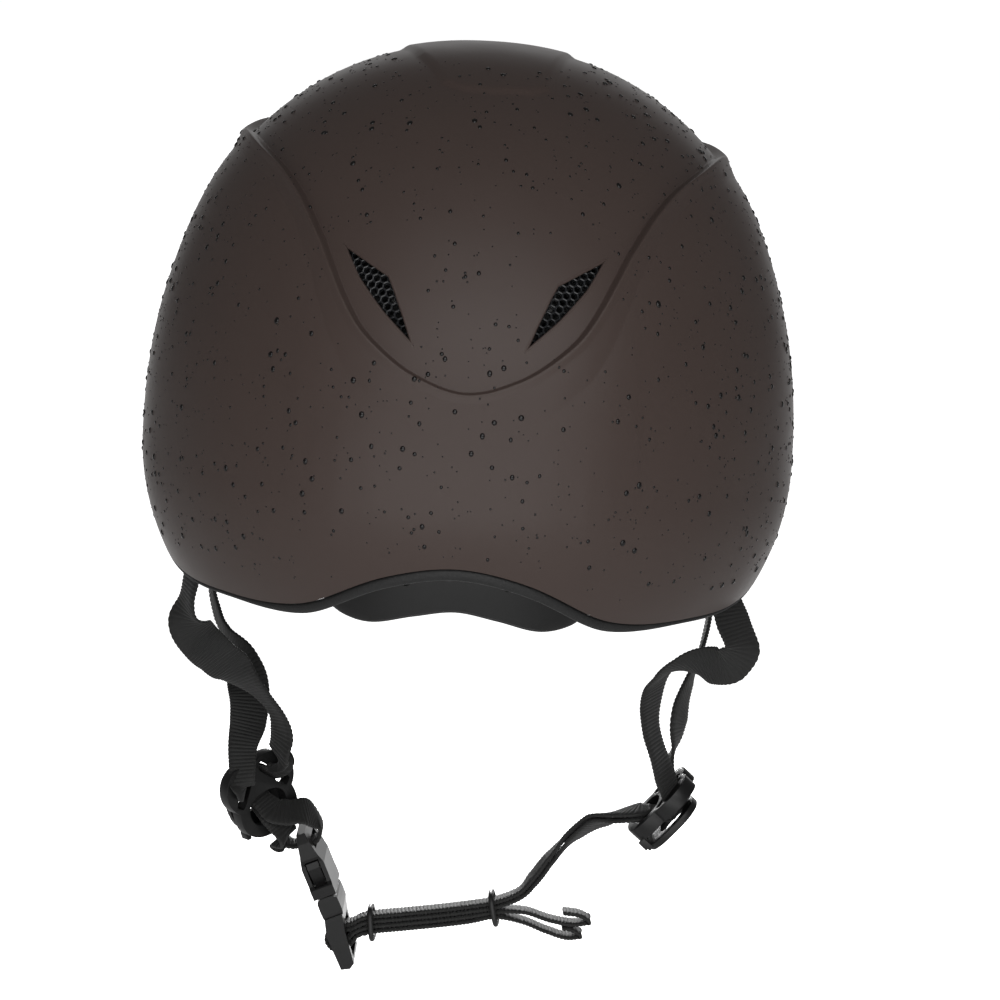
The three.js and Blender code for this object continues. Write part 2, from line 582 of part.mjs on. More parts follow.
// One layer of the chin stack, round the ladder bar of the buckle and back as a tail.
function chinStrap(depth, tail) {
  const lift = (0.5 + depth) * LAYER;
  const radius = LADDER_BAR.radius + 1.15 + depth * LAYER;
  const bar = vec(LADDER_BAR.x, 0, LADDER_BAR.z).applyMatrix4(buckleFrame);
  const row = ([x, y, z], up) => [x, y, z, 0, -1, 0, up];
  const turn = [-98, -60, -20, 20, 52, 84].map(angle => {
    const a = degToRad(angle + 37);
    return row([bar.x + radius * Math.cos(a), bar.y, bar.z - radius * Math.sin(a)], 0);
  });
  const there = CHIN_LINE.map(p => row(p, -lift)).reverse();
  const back = CHIN_LINE.map(p => row(p, -lift));
  return strap([row(CHIN_SPLIT, LAYER - lift), ...there, ...turn, ...back, ...tail.map(p => row(p, 0))], 72);
}

// A round cord bent round the chin stack.
function keeper(x, y, z, slope) {
  const tube = 0.9;
  const loopPath = oval(0, 0, 9.1, 5.5, 16, 4);
  const sections = loopPath.map(([across, up], k) => {
    const [bx, bz] = loopPath[(k + 15) % 16];
    const [nx, nz] = loopPath[(k + 1) % 16];
    const out = new THREE.Vector2(nz - bz, bx - nx).normalize();
    return [...Array(6).keys()].map(s => {
      const a = 2 * Math.PI * s / 6;
      return vec(tube * Math.sin(a), across + out.x * tube * Math.cos(a), up + out.y * tube * Math.cos(a));
    });
  });
  return loft(sections, true).rotateY(-Math.atan(slope)).translate(x, y, z);
}

// ---- dividers ----
// A slotted plate with two slanting slots above and one big hole below; out of its face is +Y.
function dividerBody() {
  const lobe = side => plate(oval(side * 6.2, 5.4, 11, 10.6, 24), -1.3, 1.3);
  const foot = plate(oval(0, -6.2, 13.4, 9.6, 24, 2.4), -1.3, 1.3);
  const opening = [
    [8.6, 2.8], [9.3, 1.9], [9.3, -1.9], [8.6, -2.8], [-8.6, -2.8], [-9.3, -1.9], [-9.3, 1.9], [-8.6, 2.8],
  ];
  const slot = side => plate(opening, -4, 4).rotateY(side * degToRad(52)).translate(side * 7.3, 0, 6.2);
  const hole = plate(oval(0, -4.6, 9.6, 7, 20, 3), -4, 4);
  const { out, up } = LOCK_PIN;
  const lug = side => box(side * 9 - 0.9, side * 9 + 0.9, out - 1.5, 0, up - 1.5, up + 1.5);
  return cut(join(lobe(-1), lobe(1), foot, lug(-1), lug(1)), slot(1), slot(-1), hole, pinBore(14, 0.95));
}

function pinBore(half, radius) {
  const { out, up } = LOCK_PIN;
  return rod(vec(-half, out, up), vec(half, out, up), radius, 12);
}

function dividerLock() {
  const { out, up } = LOCK_PIN;
  const cover = plate(oval(0, -2.4, 11.4, 12, 24, 2.6), out - 4, out - 2.1);
  const window = plate(oval(0, -2.6, 7.4, 7.4, 20, 2.6), out - 6, 0);
  const foot = box(-7.7, 7.7, out - 3, out, up - 1.4, up + 1.4);
  return cut(join(cut(cover, window), foot), pinBore(9, 0.95));
}

function dividerPin() {
  return pinBore(9.6, LOCK_PIN.radius);
}

function place(group, frame) {
  const x = vec(...frame.x).normalize();
  const z = vec(...frame.z).addScaledVector(x, -vec(...frame.z).dot(x)).normalize();
  group.applyMatrix4(new THREE.Matrix4().makeBasis(x, z.clone().cross(x), z).setPosition(...frame.at));
  helmet.add(group);
}

// ---- buckle, in its own frame: X through its thickness, Y across, Z from the mouth up into the socket ----
function buckleSocket() {
  const edge = [[12, 0], [12.2, 3.6], [11.2, 5], [11.2, 13], [12, 15], [12, 21], [10.4, 24.4]];
  const wide = [...edge.map(([y, z]) => [-y, z]), ...edge.reverse()];
  const deep = [[-4.2, 0], [-4.3, 12], [-3, 17], [-1.6, 24.4], [1.6, 24.4], [3, 17], [4.3, 12], [4.2, 0]];
  const across = loft([-6, 6].map(x => wide.map(([y, z]) => vec(x, y, z))));
  const through = loft([-14, 14].map(y => deep.map(([x, z]) => vec(x, y, z))));
  const cavity = box(-2.7, 2.7, -9.7, 9.7, -1, 14.6);
  const windows = [-1, 1].map(side => box(-2.7, 2.7, side * 11.5 - 3, side * 11.5 + 3, 4, 14));
  const slot = box(-6, 6, -8.4, 8.4, 17, 20.8);
  return cut(keep(across, through), cavity, ...windows, slot);
}

function bucklePlug() {
  const base = plate(oval(0, -4.8, 3.9, 4.2, 20, 5), -10.8, 10.8);
  const guide = box(-2, 2, -1.4, 1.4, -1.2, 4);
  const { x, z, radius } = LADDER_BAR;
  const deep = [
    [-3.4, -8], [3.4, -8], [x + 2.6, -14], [x + 2.2, z - 8.6],
    [x - 1, z - 9.4], [x - 3, z - 8], [x - 4.4, -14],
  ];
  const ladder = plate(deep, -12, 12);
  const bar = rod(vec(x, -10, z), vec(x, 10, z), radius, 14);
  return join(cut(join(base, guide, ladder), box(-12, 12, -8.6, 8.6, z - 6.6, z + 6.4)), bar);
}

function buckleArm(side) {
  const outline = [
    [6.2, 0.9], [8.9, 0.9], [9.2, 4.2], [9.9, 6.4], [10.9, 9],
    [11.4, 11], [11, 13.2], [9.4, 13.6], [7.4, 11.6], [6.7, 6],
  ];
  return loft([-2.2, 2.2].map(x => outline.map(([y, z]) => vec(x, side * y, z))));
}

// ---- assembly ----
add('outer_shell', outerShell(), BROWN);
add('eps_liner', liner(), FOAM);
add('edge_trim', edgeTrim(), RUBBER);
VENTS.forEach(([end, hand, front, side]) => {
  add(`vent_mesh_${end}_${hand}`, ventPrism(1.25, front, side, -4.2, -5.4), PLASTIC);
});

add('peak', peak(), BROWN);
PEAK_SCREWS.forEach((angle, k) => add(`peak_screw_${k + 1}`, peakScrew(angle), STEEL));

add('crown_pad', crownPad(), FABRIC);
add('brow_pad', pad([128, 232], [4, 30], 7, 18), FABRIC);
add('side_pad_left', pad([66, 112], [10, 46], 6), FABRIC);
add('side_pad_right', pad([294, 248], [10, 46], 6), FABRIC);
add('nape_pad', pad([-34, 34], [12, 44], 6), FABRIC);

add('nape_cradle', napeCradle(), PLASTIC);
add('dial_cover', dialCover(), PLASTIC);
add('dial_pinion', pinion(), PLASTIC);
add('dial_knob', dialKnob(), RUBBER);
add('rack_left', rack(1), PLASTIC);
add('rack_right', rack(-1), PLASTIC);
add('head_band_left', headBand(1), PLASTIC);
add('head_band_right', headBand(-1), PLASTIC);

Object.entries(ANCHORS).forEach(([name, anchor]) => {
  const top = anchorTop(name);
  const clip = strapPocket(anchor, 0, top - 9, top);
  const [x, y, turn] = anchor;
  const mouth = box(-8, 8, -1.3, 1.3, top - 12, top - 3).rotateZ(degToRad(turn)).translate(x, y, 0);
  add(name, cut(clip, mouth), PLASTIC);
});
add('webbing_left', leftWebbing(), WEBBING);
add('webbing_right_rear', rightWebbing(RIGHT_REAR, -1, 0), WEBBING);
add('webbing_right_front', rightWebbing(RIGHT_FRONT, 1, 1), WEBBING);
add('chin_strap_inner', chinStrap(0, TAILS.inner), WEBBING);
add('chin_strap_outer', chinStrap(1, TAILS.outer), WEBBING);
add('keeper_left', keeper(24.7, -3, -179.2, -0.13), RUBBER);
add('keeper_right', keeper(-19, -6, -172, -0.24), RUBBER);

[['left', DIVIDER_LEFT], ['right', DIVIDER_RIGHT]].forEach(([hand, frame]) => {
  const group = new THREE.Group();
  add(`divider_${hand}`, dividerBody(), PLASTIC, group);
  add(`divider_lock_${hand}`, dividerLock(), PLASTIC, group);
  add(`divider_pin_${hand}`, dividerPin(), STEEL, group);
  place(group, frame);
});

const buckle = new THREE.Group();
add('buckle_socket', buckleSocket(), GLOSS, buckle);
add('buckle_plug', bucklePlug(), GLOSS, buckle);
add('buckle_arm_rear', buckleArm(1), GLOSS, buckle);
add('buckle_arm_front', buckleArm(-1), GLOSS, buckle);
buckle.applyMatrix4(buckleFrame);
helmet.add(buckle);

export default helmet;
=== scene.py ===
"""Equestrian riding helmet: the finished look, built over the CAD frame. Lengths below are in millimetres."""
import json
import math
import random

import bmesh
import bpy
import numpy as np
from mathutils import Matrix, Vector


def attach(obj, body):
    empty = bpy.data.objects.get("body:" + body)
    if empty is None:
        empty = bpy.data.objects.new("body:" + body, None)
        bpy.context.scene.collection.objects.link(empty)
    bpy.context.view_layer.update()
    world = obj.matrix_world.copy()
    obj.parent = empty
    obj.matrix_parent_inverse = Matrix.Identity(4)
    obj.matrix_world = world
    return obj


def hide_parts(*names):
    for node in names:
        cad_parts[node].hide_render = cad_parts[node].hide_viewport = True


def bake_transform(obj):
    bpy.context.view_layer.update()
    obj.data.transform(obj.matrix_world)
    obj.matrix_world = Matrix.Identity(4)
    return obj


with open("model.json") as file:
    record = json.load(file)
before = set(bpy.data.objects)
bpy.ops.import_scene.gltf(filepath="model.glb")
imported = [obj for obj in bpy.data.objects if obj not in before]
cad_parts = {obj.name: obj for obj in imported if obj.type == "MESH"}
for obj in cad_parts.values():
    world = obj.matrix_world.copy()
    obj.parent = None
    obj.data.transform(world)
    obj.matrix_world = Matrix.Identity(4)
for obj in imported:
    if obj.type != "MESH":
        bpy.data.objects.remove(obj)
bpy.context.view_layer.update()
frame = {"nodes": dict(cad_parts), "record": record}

MM = 0.001
random.seed(7)

# ---- driving dimensions, the same as the CAD's ----
SHELL = dict(side=113.5, rear=134.0, front=132.0, height=138.5, tuck=0.08)
CAVITY = dict(side=84.0, rear=103.0, front=103.0, height=112.0, tuck=0.03)
POWER = 2.2
WALL = 3.0
RIM = ([0, 10, 25, 45, 62, 90, 125, 180], [-19, -23.5, -38, -41, -41, -34, -14, 2])
VENT = [
    (21.1, 57.5), (17, 59.3), (13.2, 61.1), (12, 63),
    (10.2, 66.4), (8.7, 69.6), (13.4, 65.8), (17.6, 61.8),
]
VENT_OPENING = 1.13                    # of the outline, before the rounded lip takes its share
VENT_SIDES = {
    "rear_left": (False, 1), "rear_right": (False, -1),
    "front_left": (True, 1), "front_right": (True, -1),
}
ANCHORS = [(91.5, 33, 113, -26), (-91.5, 33, 67, -26), (90.5, -26, 84, -21), (-90.5, -26, 96, -21)]
CRADLE_DIMPLES = [(17, -33), (-17, -33), (31, -37), (-31, -37)]
PEAK_HALF_ANGLE = 62
PEAK_REACH = 50
PEAK_DROP = 0.3
LAYER = 1.8
CHIN_LEAN = math.radians(9)            # the chin stack leans forward a little
CHIN_WIDTH = (0, -math.cos(CHIN_LEAN), -math.sin(CHIN_LEAN))
EDGE_ROUND = dict(buckle=0.8, dial=0.45, strap=0.4)
SLOT_GATHER = 0.58                     # the webbing is gathered where it passes a slot
LOOP_GATHER = 0.74
RIB_PITCH = 1.35
DIVIDER_LEFT = dict(at=(66, 7, -131), x=(0.72, 0.59, -0.37), z=(0.33, 0.18, 0.93), turn=-1)
DIVIDER_RIGHT = dict(at=(-76, 6, -125.5), x=(0, -1, 0), z=(-0.65, 0, 0.76), turn=1)
BUCKLE_TILT = math.radians(24.5)
BUCKLE_MOUTH = np.array([41.5, -2, -167])
LADDER_BAR = dict(x=2.4, z=-18.6, radius=1.5)

# ---- the studio, in metres except the floor ----
FLOOR_LEVEL = -600
FLOOR_HALF = 9000
FLOOR_DIM = 0.16
WORLD_DIM = 0.13
LIGHTS = [
    ("key", (-0.3, 1.9, 1.0), (0, 0, 0), (2.3, 1.1), 17.5),
    ("low_fill", (0.0, 1.9, -0.25), (0, 0, -0.1), (2.4, 0.7), 10),
    ("high_strip", (0.0, 1.0, 1.35), (0, 0.1, 0.06), (1.0, 0.2), 1.5),
    ("front_fill", (0.0, -2.0, -0.15), (0, 0, -0.02), (0.35, 0.25), 14),
]

# The crease between the crown panel and the side skin: azimuth from the back, tilt from the crown, and how
# far the side skin stands proud there.
CREASE = ([0, 3, 6, 9, 12.5, 16, 19, 22.5, 26, 33, 42.5, 58, 75, 90, 120, 140, 160, 180],
          [76.2, 75.8, 74.8, 73.5, 71.3, 68.5, 65, 60.4, 56.3, 50.6, 46.3, 43.4, 42.5, 43.6, 43, 47, 58, 66])
PROUD = ([0, 8, 16, 24, 34, 60, 90, 130, 180], [0.8, 1.1, 2.2, 3.0, 3.4, 3.3, 3.2, 2.6, 1.0])
FLANK = ([0, 12.5, 16, 21.5, 28, 42, 90, 180], [14, 12, 10, 8, 6, 5, 7, 8])
PLATEAU = [(31, -13), (24, 24), (14.5, 54), (7, 59), (-2, 60), (-15, 58), (-21, 53), (-29, -13), (-24, -50),
           (-8, -62), (8, -62), (24, -50)]


# ---- materials ----
def surface(name, colour, rough, grain=0.0, depth=0.0, mottle=0.0, metal=0.0, sheen=0.0, specular=0.5):
    """A procedural finish: colour and roughness broken up slightly, and a fine bump `grain` mm across."""
    material = bpy.data.materials.new(name)
    material.use_nodes = True
    tree = material.node_tree
    bsdf = tree.nodes["Principled BSDF"]
    bsdf.inputs["Roughness"].default_value = rough
    bsdf.inputs["Metallic"].default_value = metal
    bsdf.inputs["Sheen Weight"].default_value = sheen
    bsdf.inputs["Sheen Roughness"].default_value = 0.5
    bsdf.inputs["Specular IOR Level"].default_value = specular
    place = tree.nodes.new("ShaderNodeTexCoord")
    cloud = tree.nodes.new("ShaderNodeTexNoise")
    cloud.inputs["Scale"].default_value = 45
    cloud.inputs["Detail"].default_value = 4
    tree.links.new(place.outputs["Object"], cloud.inputs["Vector"])
    tint = tree.nodes.new("ShaderNodeMix")
    tint.data_type = "RGBA"
    tint.inputs["A"].default_value = (*[c * (1 - mottle) for c in colour], 1)
    tint.inputs["B"].default_value = (*[c * (1 + mottle) for c in colour], 1)
    tree.links.new(cloud.outputs["Fac"], tint.inputs["Factor"])
    tree.links.new(tint.outputs["Result"], bsdf.inputs["Base Color"])
    spread = tree.nodes.new("ShaderNodeMapRange")
    spread.inputs["To Min"].default_value = max(rough - 0.05, 0.02)
    spread.inputs["To Max"].default_value = min(rough + 0.05, 1)
    tree.links.new(cloud.outputs["Fac"], spread.inputs["Value"])
    tree.links.new(spread.outputs["Result"], bsdf.inputs["Roughness"])
    if grain:
        fine = tree.nodes.new("ShaderNodeTexNoise")
        fine.inputs["Scale"].default_value = 1000 / grain
        fine.inputs["Detail"].default_value = 2
        tree.links.new(place.outputs["Object"], fine.inputs["Vector"])
        bump = tree.nodes.new("ShaderNodeBump")
        bump.inputs["Distance"].default_value = depth * MM
        bump.inputs["Strength"].default_value = 1
        tree.links.new(fine.outputs["Fac"], bump.inputs["Height"])
        tree.links.new(bump.outputs["Normal"], bsdf.inputs["Normal"])
    return material


def foam_surface():
    """Moulded expanded beads: a cell pattern a few millimetres across."""
    material = surface("black_foam", (0.012, 0.012, 0.012), 0.8)
    tree = material.node_tree
    beads = tree.nodes.new("ShaderNodeTexVoronoi")
    beads.inputs["Scale"].default_value = 320
    bump = tree.nodes.new("ShaderNodeBump")
    bump.inputs["Distance"].default_value = 0.25 * MM
    bump.invert = True
    place = tree.nodes["Texture Coordinate"]
    tree.links.new(place.outputs["Object"], beads.inputs["Vector"])
    tree.links.new(beads.outputs["Distance"], bump.inputs["Height"])
    tree.links.new(bump.outputs["Normal"], tree.nodes["Principled BSDF"].inputs["Normal"])
    return material


def water_surface():
    material = bpy.data.materials.new("water")
    material.use_nodes = True
    bsdf = material.node_tree.nodes["Principled BSDF"]
    bsdf.inputs["Base Color"].default_value = (0.004, 0.003, 0.003, 1)
    bsdf.inputs["Roughness"].default_value = 0.12
    bsdf.inputs["IOR"].default_value = 1.45
    return material


BROWN = surface("satin_brown", (0.066, 0.047, 0.041), 0.42, grain=0.6, depth=0.008, mottle=0.04,
                specular=0.28)
FOAM = foam_surface()
TRIM = surface("textured_rubber", (0.012, 0.012, 0.012), 0.62, grain=0.9, depth=0.25, mottle=0.2)
RUBBER = surface("grey_rubber", (0.02, 0.02, 0.02), 0.5, grain=0.5, depth=0.03, mottle=0.1)
PLASTIC = surface("black_plastic", (0.009, 0.009, 0.009), 0.38, grain=0.5, depth=0.02, mottle=0.1,
                  specular=0.38)
GLOSS = surface("polished_plastic", (0.010, 0.010, 0.010), 0.3, grain=1.5, depth=0.01, mottle=0.1,
                specular=0.3)
GRILLE = surface("grille_plastic", (0.022, 0.023, 0.025), 0.25, grain=0.8, depth=0.01)
WEB = surface("woven_webbing", (0.010, 0.010, 0.0095), 0.72, grain=0.35, depth=0.1, mottle=0.25, sheen=0.12)
FABRIC = surface("knitted_lining", (0.018, 0.018, 0.018), 0.9, grain=0.8, depth=0.3, mottle=0.2, sheen=0.3)
STEEL = surface("dark_steel", (0.12, 0.12, 0.125), 0.32, grain=0.4, depth=0.01, metal=1.0)
WATER = water_surface()


# ---- meshes ----
def mesh_object(name, verts, faces, material, smooth=True):
    """verts in millimetres in the row frame."""
    mesh = bpy.data.meshes.new(name)
    mesh.from_pydata((np.asarray(verts) * MM).tolist(), [], [list(map(int, f)) for f in faces])
    mesh.update()
    mesh.materials.append(material)
    mesh.polygons.foreach_set("use_smooth", [smooth] * len(mesh.polygons))
    thing = bpy.data.objects.new(name, mesh)
    bpy.context.scene.collection.objects.link(thing)
    return thing


def hand_over(thing, body, slot, *nodes):
    """The piece rides on a body and stands for the CAD nodes; slot is not used."""
    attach(thing, body)
    if nodes:
        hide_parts(*nodes)
    return thing


def grid_faces(rows, columns, wrap_rows=False, wrap_columns=False):
    faces = []
    for j in range(rows if wrap_rows else rows - 1):
        for i in range(columns if wrap_columns else columns - 1):
            a = j * columns + i
            b = j * columns + (i + 1) % columns
            c = ((j + 1) % rows) * columns + (i + 1) % columns
            d = ((j + 1) % rows) * columns + i
            faces.append((a, b, c, d))
    return faces


def loft(name, sections, material, ring=False, smooth=True):
    """A skin through closed sections, capped at both ends unless it closes on itself."""
    rows, columns = len(sections), len(sections[0])
    verts = np.concatenate([np.asarray(s, float) for s in sections])
    faces = grid_faces(rows, columns, ring, True)
    if not ring:
        faces += [tuple(range(columns))[::-1], tuple(range((rows - 1) * columns, rows * columns))]
    thing = mesh_object(name, verts, faces, material, smooth)
    tidy_normals(thing)
    return thing


def tidy_normals(thing):
    work = bmesh.new()
    work.from_mesh(thing.data)
    bmesh.ops.recalc_face_normals(work, faces=work.faces)
    work.to_mesh(thing.data)
    work.free()


def smooth_by_angle(thing, degrees=35):
    thing.data.polygons.foreach_set("use_smooth", [True] * len(thing.data.polygons))
    work = bmesh.new()
    work.from_mesh(thing.data)
    for edge in work.edges:
        edge.smooth = len(edge.link_faces) == 2 and edge.calc_face_angle(0) < math.radians(degrees)
    work.to_mesh(thing.data)
    work.free()


def bake(thing):
    """Applies the modifiers of a piece."""
    depsgraph = bpy.context.evaluated_depsgraph_get()
    mesh = bpy.data.meshes.new_from_object(thing.evaluated_get(depsgraph))
    thing.modifiers.clear()
    thing.data = mesh


def box_object(low, high, turn=0, at=(0, 0, 0)):
    corners = [(x, y, z) for x in (low[0], high[0]) for y in (low[1], high[1]) for z in (low[2], high[2])]
    spin = Matrix.Rotation(math.radians(turn), 3, "Z")
    verts = [spin @ Vector(c) + Vector(at) for c in corners]
    faces = [(0, 1, 3, 2), (4, 6, 7, 5), (0, 4, 5, 1), (2, 3, 7, 6), (0, 2, 6, 4), (1, 5, 7, 3)]
    thing = mesh_object("cutter", [list(v) for v in verts], faces, FOAM, False)
    tidy_normals(thing)
    return thing


def carve(thing, cutters):
    for cutter in cutters:
        modifier = thing.modifiers.new("carve", "BOOLEAN")
        modifier.operation = "DIFFERENCE"
        modifier.solver = "MANIFOLD"
        modifier.object = cutter
    bake(thing)
    for cutter in cutters:
        bpy.data.objects.remove(cutter)


def round_edges(thing, width, segments=3, degrees=32):
    modifier = thing.modifiers.new("edges", "BEVEL")
    modifier.width = width * MM
    modifier.segments = segments
    modifier.limit_method = "ANGLE"
    modifier.angle_limit = math.radians(degrees)
    modifier.harden_normals = False


# ---- the dome ----
def smooth_curve(x, table):
    """Smooth curve through a table's values, level at both ends; x may be an array."""
    places, values = np.asarray(table[0], float), np.asarray(table[1], float)
    x = np.clip(x, places[0], places[-1])
    slopes = np.zeros(len(places))
    slopes[1:-1] = (values[2:] - values[:-2]) / (places[2:] - places[:-2])
    i = np.clip(np.searchsorted(places, x, side="right") - 1, 0, len(places) - 2)
    h = places[i + 1] - places[i]
    t = (x - places[i]) / h
    return ((2 * t**3 - 3 * t**2 + 1) * values[i] + (t**3 - 2 * t**2 + t) * h * slopes[i]
            + (3 * t**2 - 2 * t**3) * values[i + 1] + (t**3 - t**2) * h * slopes[i + 1])


def fold(azimuth):
    return np.abs((np.asarray(azimuth, float) + 540) % 360 - 180)


def rim_height(azimuth):
    return smooth_curve(fold(azimuth), RIM)


def dome(shape, azimuth, tilt):
    """Point of the dome; azimuth in degrees from the back, tilt in radians from the crown."""
    azimuth, tilt = np.broadcast_arrays(np.asarray(azimuth, float), np.asarray(tilt, float))
    a = np.radians(azimuth)
    length = np.where(np.cos(a) > 0, shape["rear"], shape["front"])
    sideways = (np.abs(np.sin(a)) / shape["side"]) ** POWER
    lengthways = (np.abs(np.cos(a)) / length) ** POWER
    plan = (sideways + lengthways) ** (-1 / POWER)
    upper = np.minimum(tilt, math.pi / 2)
    below = shape["height"] * np.maximum(tilt - math.pi / 2, 0)
    wide = np.sin(upper) ** (2 / POWER) * (1 - (shape["tuck"] + 0.03 * np.cos(a)) * (below / 40) ** 2)
    high = np.where(tilt > math.pi / 2, -below, shape["height"] * np.abs(np.cos(upper)) ** (2 / POWER))
    return np.stack([plan * wide * np.sin(a), plan * wide * np.cos(a), high], -1)


def skin(shape, azimuth, tilt, lift):
    """Point of the dome moved out along its normal."""
    tilt = np.maximum(np.asarray(tilt, float), 0.012)
    around = dome(shape, np.asarray(azimuth) + 0.1, tilt) - dome(shape, np.asarray(azimuth) - 0.1, tilt)
    down = dome(shape, azimuth, tilt + 1e-3) - dome(shape, azimuth, tilt - 1e-3)
    normal = np.cross(around, down)
    normal /= np.linalg.norm(normal, axis=-1, keepdims=True)
    return dome(shape, azimuth, tilt) + normal * np.asarray(lift, float)[..., None]


def tilt_at(shape, height):
    height = np.asarray(height, float)
    up = np.arccos(np.clip(np.maximum(height, 0) / shape["height"], 0, 1) ** (POWER / 2))
    return np.where(height > 0, up, math.pi / 2 - height / shape["height"])


def edge_distance(points, outline):
    """Distance in the plane to a closed outline, negative inside."""
    x, y = points[..., 0], points[..., 1]
    nearest = np.full(x.shape, 1e9)
    inside = np.zeros(x.shape, bool)
    for k, (bx, by) in enumerate(outline):
        ax, ay = outline[k - 1]
        t = np.clip(((x - ax) * (bx - ax) + (y - ay) * (by - ay)) / ((bx - ax) ** 2 + (by - ay) ** 2), 0, 1)
        nearest = np.minimum(nearest, np.hypot(x - ax - t * (bx - ax), y - ay - t * (by - ay)))
        inside ^= ((ay > y) != (by > y)) & (x < (bx - ax) * (y - ay) / (by - ay + 1e-12) + ax)
    return np.where(inside, -nearest, nearest)


def step(x, low, high):
    t = np.clip((x - low) / (high - low), 0, 1)
    return t * t * (3 - 2 * t)


def relief(azimuth, tilt):
    """Height of the moulded features above the plain dome, in millimetres."""
    folded = fold(azimuth)
    crease = np.radians(smooth_curve(folded, CREASE))
    slope = np.radians(smooth_curve(fold(azimuth + 0.5), CREASE) - smooth_curve(fold(azimuth - 0.5), CREASE))
    along = np.linalg.norm(dome(SHELL, azimuth + 0.5, crease) - dome(SHELL, azimuth - 0.5, crease), axis=-1)
    across = dome(SHELL, azimuth, crease + 0.01) - dome(SHELL, azimuth, crease - 0.01)
    per_tilt = np.linalg.norm(across, axis=-1) / 0.02
    lean = slope * per_tilt / np.maximum(along, 0.1)
    s = (tilt - crease) * per_tilt / np.sqrt(1 + lean ** 2)
    proud = smooth_curve(folded, PROUD)
    flank = smooth_curve(folded, FLANK)
    half = 0.45 + 0.13 * proud
    lip = step(s, -half, half)
    fall = 1 - 0.5 * np.clip((s - 1.2) / flank, 0, 1) - 0.5 * step(s, 1.2 + flank, 52)
    height = proud * lip * np.where(s > 1.2, fall, 1)
    height += 0.35 * lip * (1 - step(s, 0.8, 3.5))
    plain = dome(SHELL, azimuth, tilt)
    island = edge_distance(plain, PLATEAU)
    back = step(plain[..., 1], 18, 50)
    raised = (1.3 * (1 - step(island, -3.0, 1.2)) * (1 - 0.6 * back)
              + 0.45 * back * (1 - step(island, -0.6, 0.5)))
    height += np.where(plain[..., 2] > 60, raised, 0)
    return height


def shell_tilts(azimuth, rows):
    """Row by row tilts from crown to rim, crowded at the crease."""
    rim = tilt_at(SHELL, rim_height(azimuth))
    crease = np.radians(smooth_curve(fold(azimuth), CREASE))
    upper, lip, lower = int(rows * 0.42), int(rows * 0.2), rows - int(rows * 0.42) - int(rows * 0.2)
    near, far = crease - 0.03, crease + 0.06
    first = [near * k / upper for k in range(upper)]
    second = [near + (far - near) * k / lip for k in range(lip)]
    third = [far + (rim - far) * k / (lower - 1) for k in range(lower)]
    return np.array(first + second + third)


def vent_outline(scale, front, side):
    middle = np.mean(VENT, axis=0)
    around = [(middle + (np.array(p) - middle) * scale) for p in VENT]
    return [(side * (180 - a if front else a), math.radians(t)) for a, t in around]


def vent_prism(scale, front, side, outside, inside):
    outline = vent_outline(scale, front, side)
    rows = [[skin(SHELL, a, t, lift) for a, t in outline] for lift in (outside, inside)]
    return loft("cutter", rows, FOAM, smooth=False)


def bowl(name, outer, inner, columns, material):
    """A closed bowl between two grids of points (rows x columns x 3), rims joined."""
    rows = len(outer)
    verts = np.concatenate([outer.reshape(-1, 3), inner.reshape(-1, 3)])
    faces = grid_faces(rows, columns, False, True)
    faces += [tuple(i + rows * columns for i in f[::-1]) for f in grid_faces(rows, columns, False, True)]
    for i in range(columns):
        n = (i + 1) % columns
        faces.append(((rows - 1) * columns + i, (rows - 1) * columns + n,
                      (2 * rows - 1) * columns + n, (2 * rows - 1) * columns + i))
    faces += [tuple(range(columns))[::-1], tuple(range(rows * columns, (rows + 1) * columns))]
    thing = mesh_object(name, verts, faces, material)
    tidy_normals(thing)
    return thing


def build_shell():
    columns, rows = ((720, 300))
    azimuth = np.arange(columns) * 360 / columns
    tilts = shell_tilts(azimuth, rows)
    tilts[0] = 0.012
    around = np.broadcast_to(azimuth, tilts.shape)
    height = relief(around, tilts)
    outer = skin(SHELL, around, tilts, height)
    inner = skin(SHELL, around, tilts, np.full(tilts.shape, -WALL))
    shell = bowl("helmet_shell", outer, inner, columns, BROWN)
    cutters = [vent_prism(VENT_OPENING, front, side, 9, -8) for front, side in VENT_SIDES.values()]
    carve(shell, cutters)
    smooth_by_angle(shell, 50)
    hand_over(shell, "helmet", "brown_paint", "outer_shell")
    return shell


def tube(name, path, radius, material, closed=True, sides=8):
    path = np.asarray(path, float)
    count = len(path)
    sections = []
    for k in range(count):
        ahead = path[(k + 1) % count if closed else min(k + 1, count - 1)]
        behind = path[k - 1 if closed else max(k - 1, 0)]
        along = Vector(ahead - behind).normalized()
        side = along.cross(Vector(path[k]).normalized()).normalized()
        up = side.cross(along)
        ring = [path[k] + radius * (math.cos(q) * np.array(side) + math.sin(q) * np.array(up))
                for q in np.linspace(0, 2 * math.pi, sides, endpoint=False)]
        sections.append(ring)
    return loft(name, sections, material, ring=closed)


def subdivide_outline(outline, per_side):
    points = []
    for k, a in enumerate(outline):
        b = outline[(k + 1) % len(outline)]
        shares = np.arange(per_side) / per_side
        points += [(a[0] + (b[0] - a[0]) * t, a[1] + (b[1] - a[1]) * t) for t in shares]
    return points


